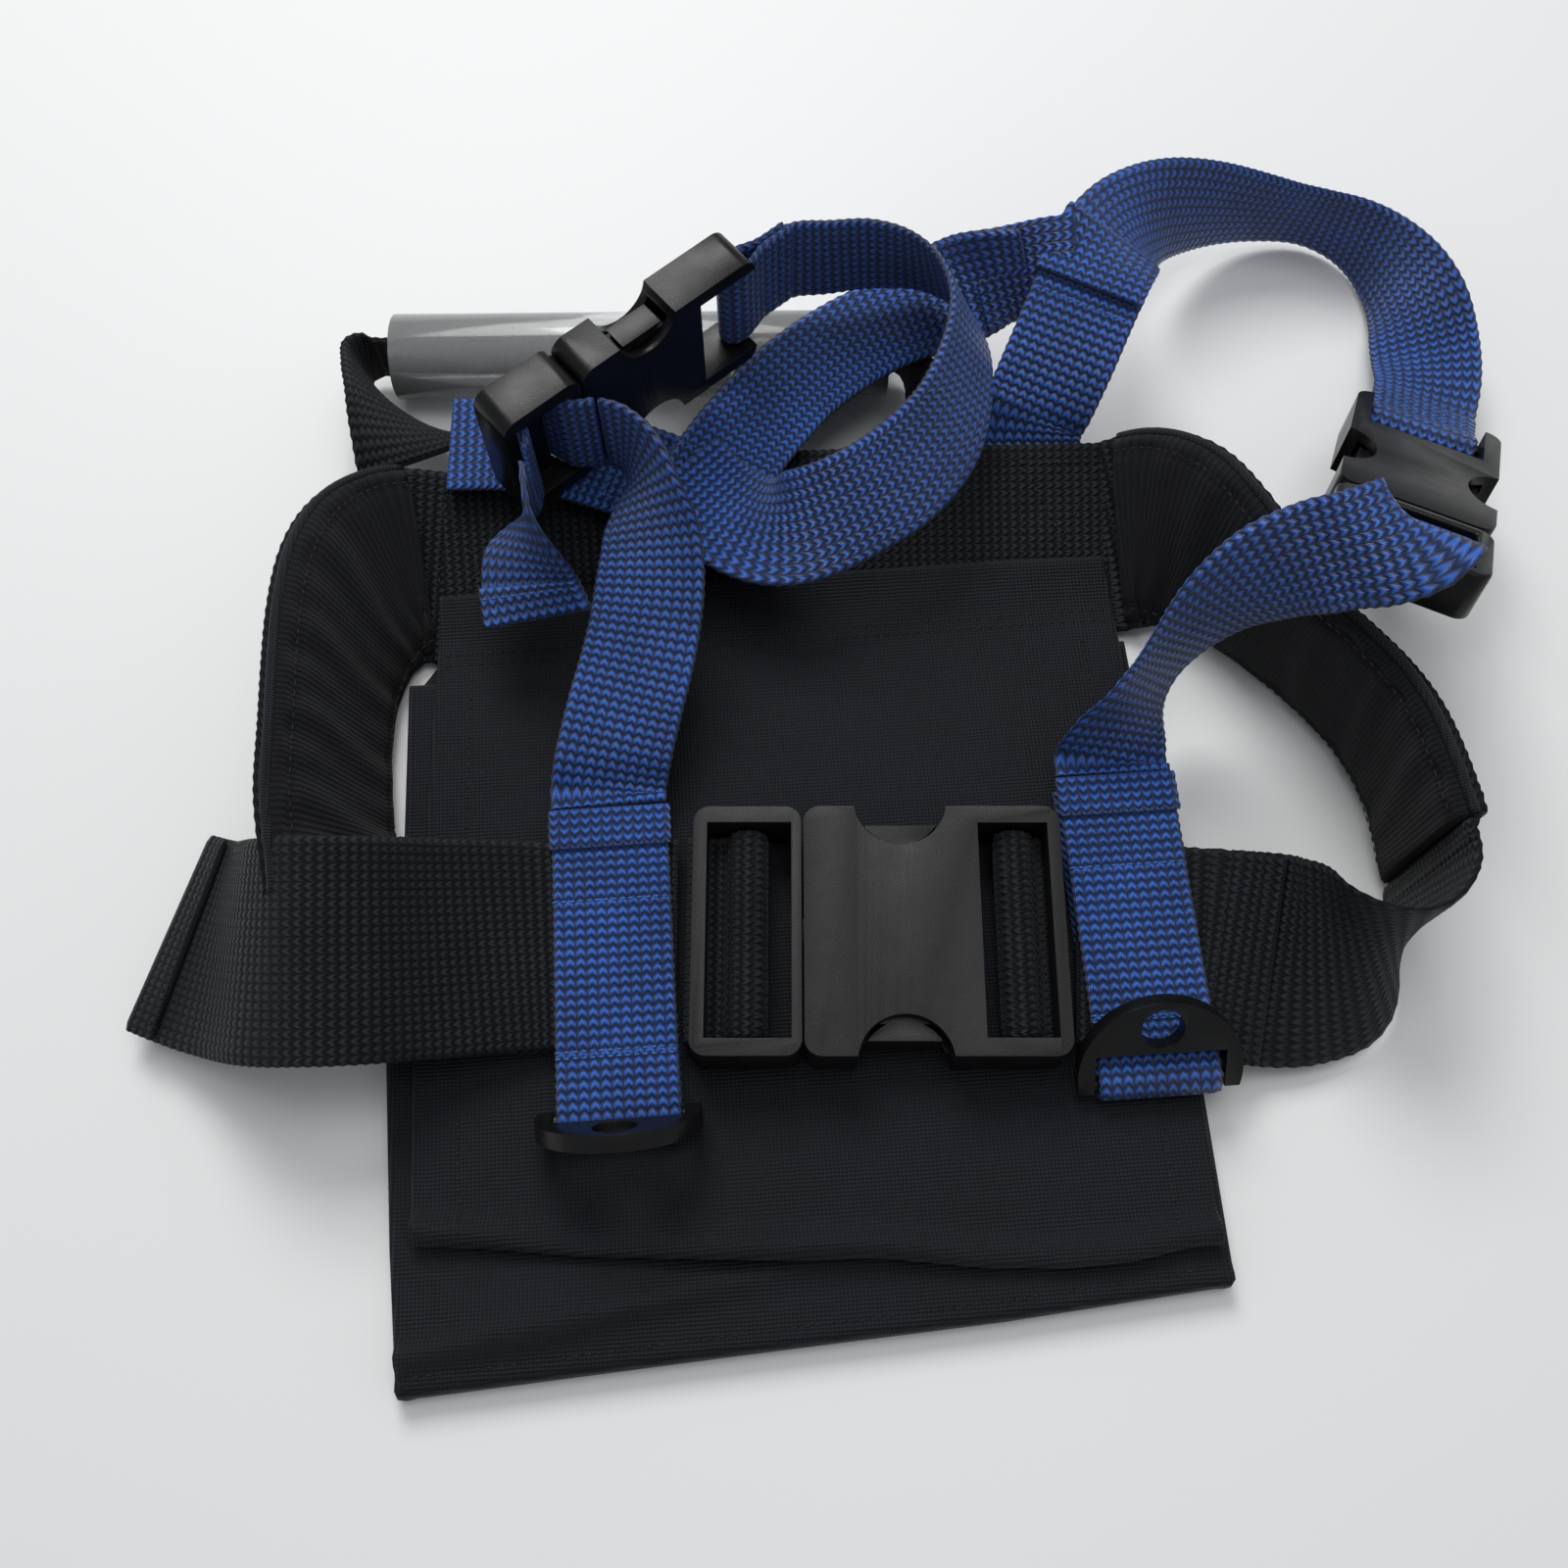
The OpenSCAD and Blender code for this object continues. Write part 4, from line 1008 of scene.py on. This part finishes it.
class HARNESS_OT_handle(bpy.types.Operator):
    """Handle webbing, clear tube and the printed strip rolled in it"""

    bl_idname = "harness.handle"
    bl_label = "Handle"

    def execute(self, context):
        tape("handle_webbing", "handle_web", 38, -1.0, 1.0, "black webbing", "harness",
             ("handle_web",), columns=18)
        at = Matrix.Translation(Vector(TUBE_AT) * MM) @ turned(TUBE_TURN, "Z")
        bm = bmesh.new()
        length, outer, wall = TUBE_LENGTH * MM, TUBE_RADIUS * MM, TUBE_WALL * MM
        profile = [(-length / 2, outer - 0.0003), (-length / 2 + 0.0003, outer),
                   (length / 2 - 0.0003, outer), (length / 2, outer - 0.0003),
                   (length / 2, outer - wall), (-length / 2, outer - wall)]
        verts = [bm.verts.new(at @ Vector((x, 0, r))) for x, r in profile]
        edges = [bm.edges.new((a, b)) for a, b in zip(verts, verts[1:] + verts[:1])]
        axis = at.to_3x3() @ Vector((1, 0, 0))
        bmesh.ops.spin(bm, geom=verts + edges, cent=at.translation, axis=axis, angle=math.tau,
                       steps=72, use_merge=True)
        finish_piece("tube_clear", bm, "clear vinyl", "grip", ("grip_tube",))

        # white strip: two long arcs against the inside of the tube, with plain ticks
        strip = bmesh.new()
        ticks = bmesh.new()
        inner = 9.25 * MM
        for start, sweep in ((64, 30), (160, 30)):
            turn = turned(start, "X")
            ends = [strip.verts.new(at @ turn @ Vector((x * 65 * MM, inner, 0))) for x in (-1, 1)]
            edge = strip.edges.new(ends)
            bmesh.ops.spin(strip, geom=ends + [edge], cent=at.translation, axis=axis,
                           angle=math.radians(sweep), steps=14)
            for k in range(52):
                x = (-64 + k * 2.5) * MM
                tall = 1.7 if k % 4 else 3.4
                for where in (start + 8, start + sweep - 8):
                    turn = turned(where, "X")
                    size = Matrix.Diagonal((0.28 * MM, 0.06 * MM, tall / 2 * MM, 1))
                    bmesh.ops.create_icosphere(
                        ticks, subdivisions=1, radius=1,
                        matrix=at @ turn @ Matrix.Translation((x, inner + 0.00012, 0)) @ size)
        bmesh.ops.solidify(strip, geom=strip.faces[:], thickness=0.0002)
        finish_piece("tube_strip", strip, "printed strip", "grip", ("grip_strip",))
        finish_piece("tube_ticks", ticks, "red ink", "grip", (), recalc=False)
        return {"FINISHED"}


class HARNESS_OT_stage(bpy.types.Operator):
    """Pale floor, soft light and camera"""

    bl_idname = "harness.stage"
    bl_label = "Stage"

    def execute(self, context):
        scene = context.scene
        bm = bmesh.new()
        bmesh.ops.create_grid(bm, x_segments=1, y_segments=1, size=4)
        mesh = bpy.data.meshes.new("pale_floor")
        bm.to_mesh(mesh)
        bm.free()
        floor = bpy.data.objects.new("pale_floor", mesh)
        net = Net("pale floor")
        vector, _ = net.coordinates("Object")
        drift = net.noise(vector, 3.0, 4.0)
        colour = net.mix(drift, (0.735, 0.735, 0.73, 1), (0.77, 0.77, 0.765, 1))
        mesh.materials.append(net.surface(
            Base_Color=colour, Roughness=net.math("MULTIPLY_ADD", drift, 0.1, 0.5)))
        scene.collection.objects.link(floor)

        world = bpy.data.worlds.new("soft room")
        world.use_nodes = True
        world.node_tree.nodes["Background"].inputs[0].default_value = (0.93, 0.96, 1.0, 1)
        world.node_tree.nodes["Background"].inputs[1].default_value = 0.38
        scene.world = world
        for name, place, size, power in (("window", (-0.15, 0.85, 1.05), 0.6, 10.5),
                                         ("ceiling", (0.15, 0.15, 1.6), 0.8, 6.6)):
            light = bpy.data.lights.new(name, "AREA")
            light.size = size
            light.energy = power
            lamp = bpy.data.objects.new(name, light)
            lamp.location = place
            lamp.rotation_euler = (Vector((0, 0, 0)) - Vector(place)).to_track_quat("-Z", "Y").to_euler()
            scene.collection.objects.link(lamp)

        camera = bpy.data.cameras.new("camera")
        camera.lens = 36
        camera.sensor_width = 36
        eye = bpy.data.objects.new("camera", camera)
        eye.location = (-0.010, -0.108, 0.374)
        eye.rotation_euler = (math.radians(21.5), 0, math.radians(-4))
        scene.collection.objects.link(eye)
        scene.camera = eye
        scene.view_settings.view_transform = "Standard"
        return {"FINISHED"}


class HARNESS_PT_panel(bpy.types.Panel):
    """Sizes, colours and build steps of the harness"""

    bl_label = "Harness"
    bl_idname = "HARNESS_PT_panel"
    bl_space_type = "VIEW_3D"
    bl_region_type = "UI"
    bl_category = "Harness"

    def draw(self, context):
        layout = self.layout
        for group in ("harness_webbing", "harness_pouch", "harness_hardware"):
            settings = getattr(context.scene, group)
            box = layout.box()
            for name in settings.bl_rna.properties.keys():
                if name not in ("rna_type", "name"):
                    box.prop(settings, name)
        for step in STEPS:
            layout.operator(step.bl_idname)


STEPS = (HARNESS_OT_pouch, HARNESS_OT_belt, HARNESS_OT_sleeves, HARNESS_OT_shoulder_straps,
         HARNESS_OT_back_straps, HARNESS_OT_moulded, HARNESS_OT_handle, HARNESS_OT_stage)
GROUPS = {"harness_webbing": HarnessWebbing, "harness_pouch": HarnessPouch,
          "harness_hardware": HarnessHardware}


def register():
    for cls in (*GROUPS.values(), *STEPS, HARNESS_PT_panel):
        bpy.utils.register_class(cls)
    for name, group in GROUPS.items():
        setattr(bpy.types.Scene, name, bpy.props.PointerProperty(type=group))


def unregister():
    for name in GROUPS:
        delattr(bpy.types.Scene, name)
    for cls in reversed((*GROUPS.values(), *STEPS, HARNESS_PT_panel)):
        bpy.utils.unregister_class(cls)


def main():
    register()
    bpy.ops.harness.pouch()
    bpy.ops.harness.belt()
    bpy.ops.harness.sleeves()
    bpy.ops.harness.shoulder_straps()
    bpy.ops.harness.back_straps()
    bpy.ops.harness.moulded()
    bpy.ops.harness.handle()
    bpy.ops.harness.stage()


if __name__ == "__main__":
    main()
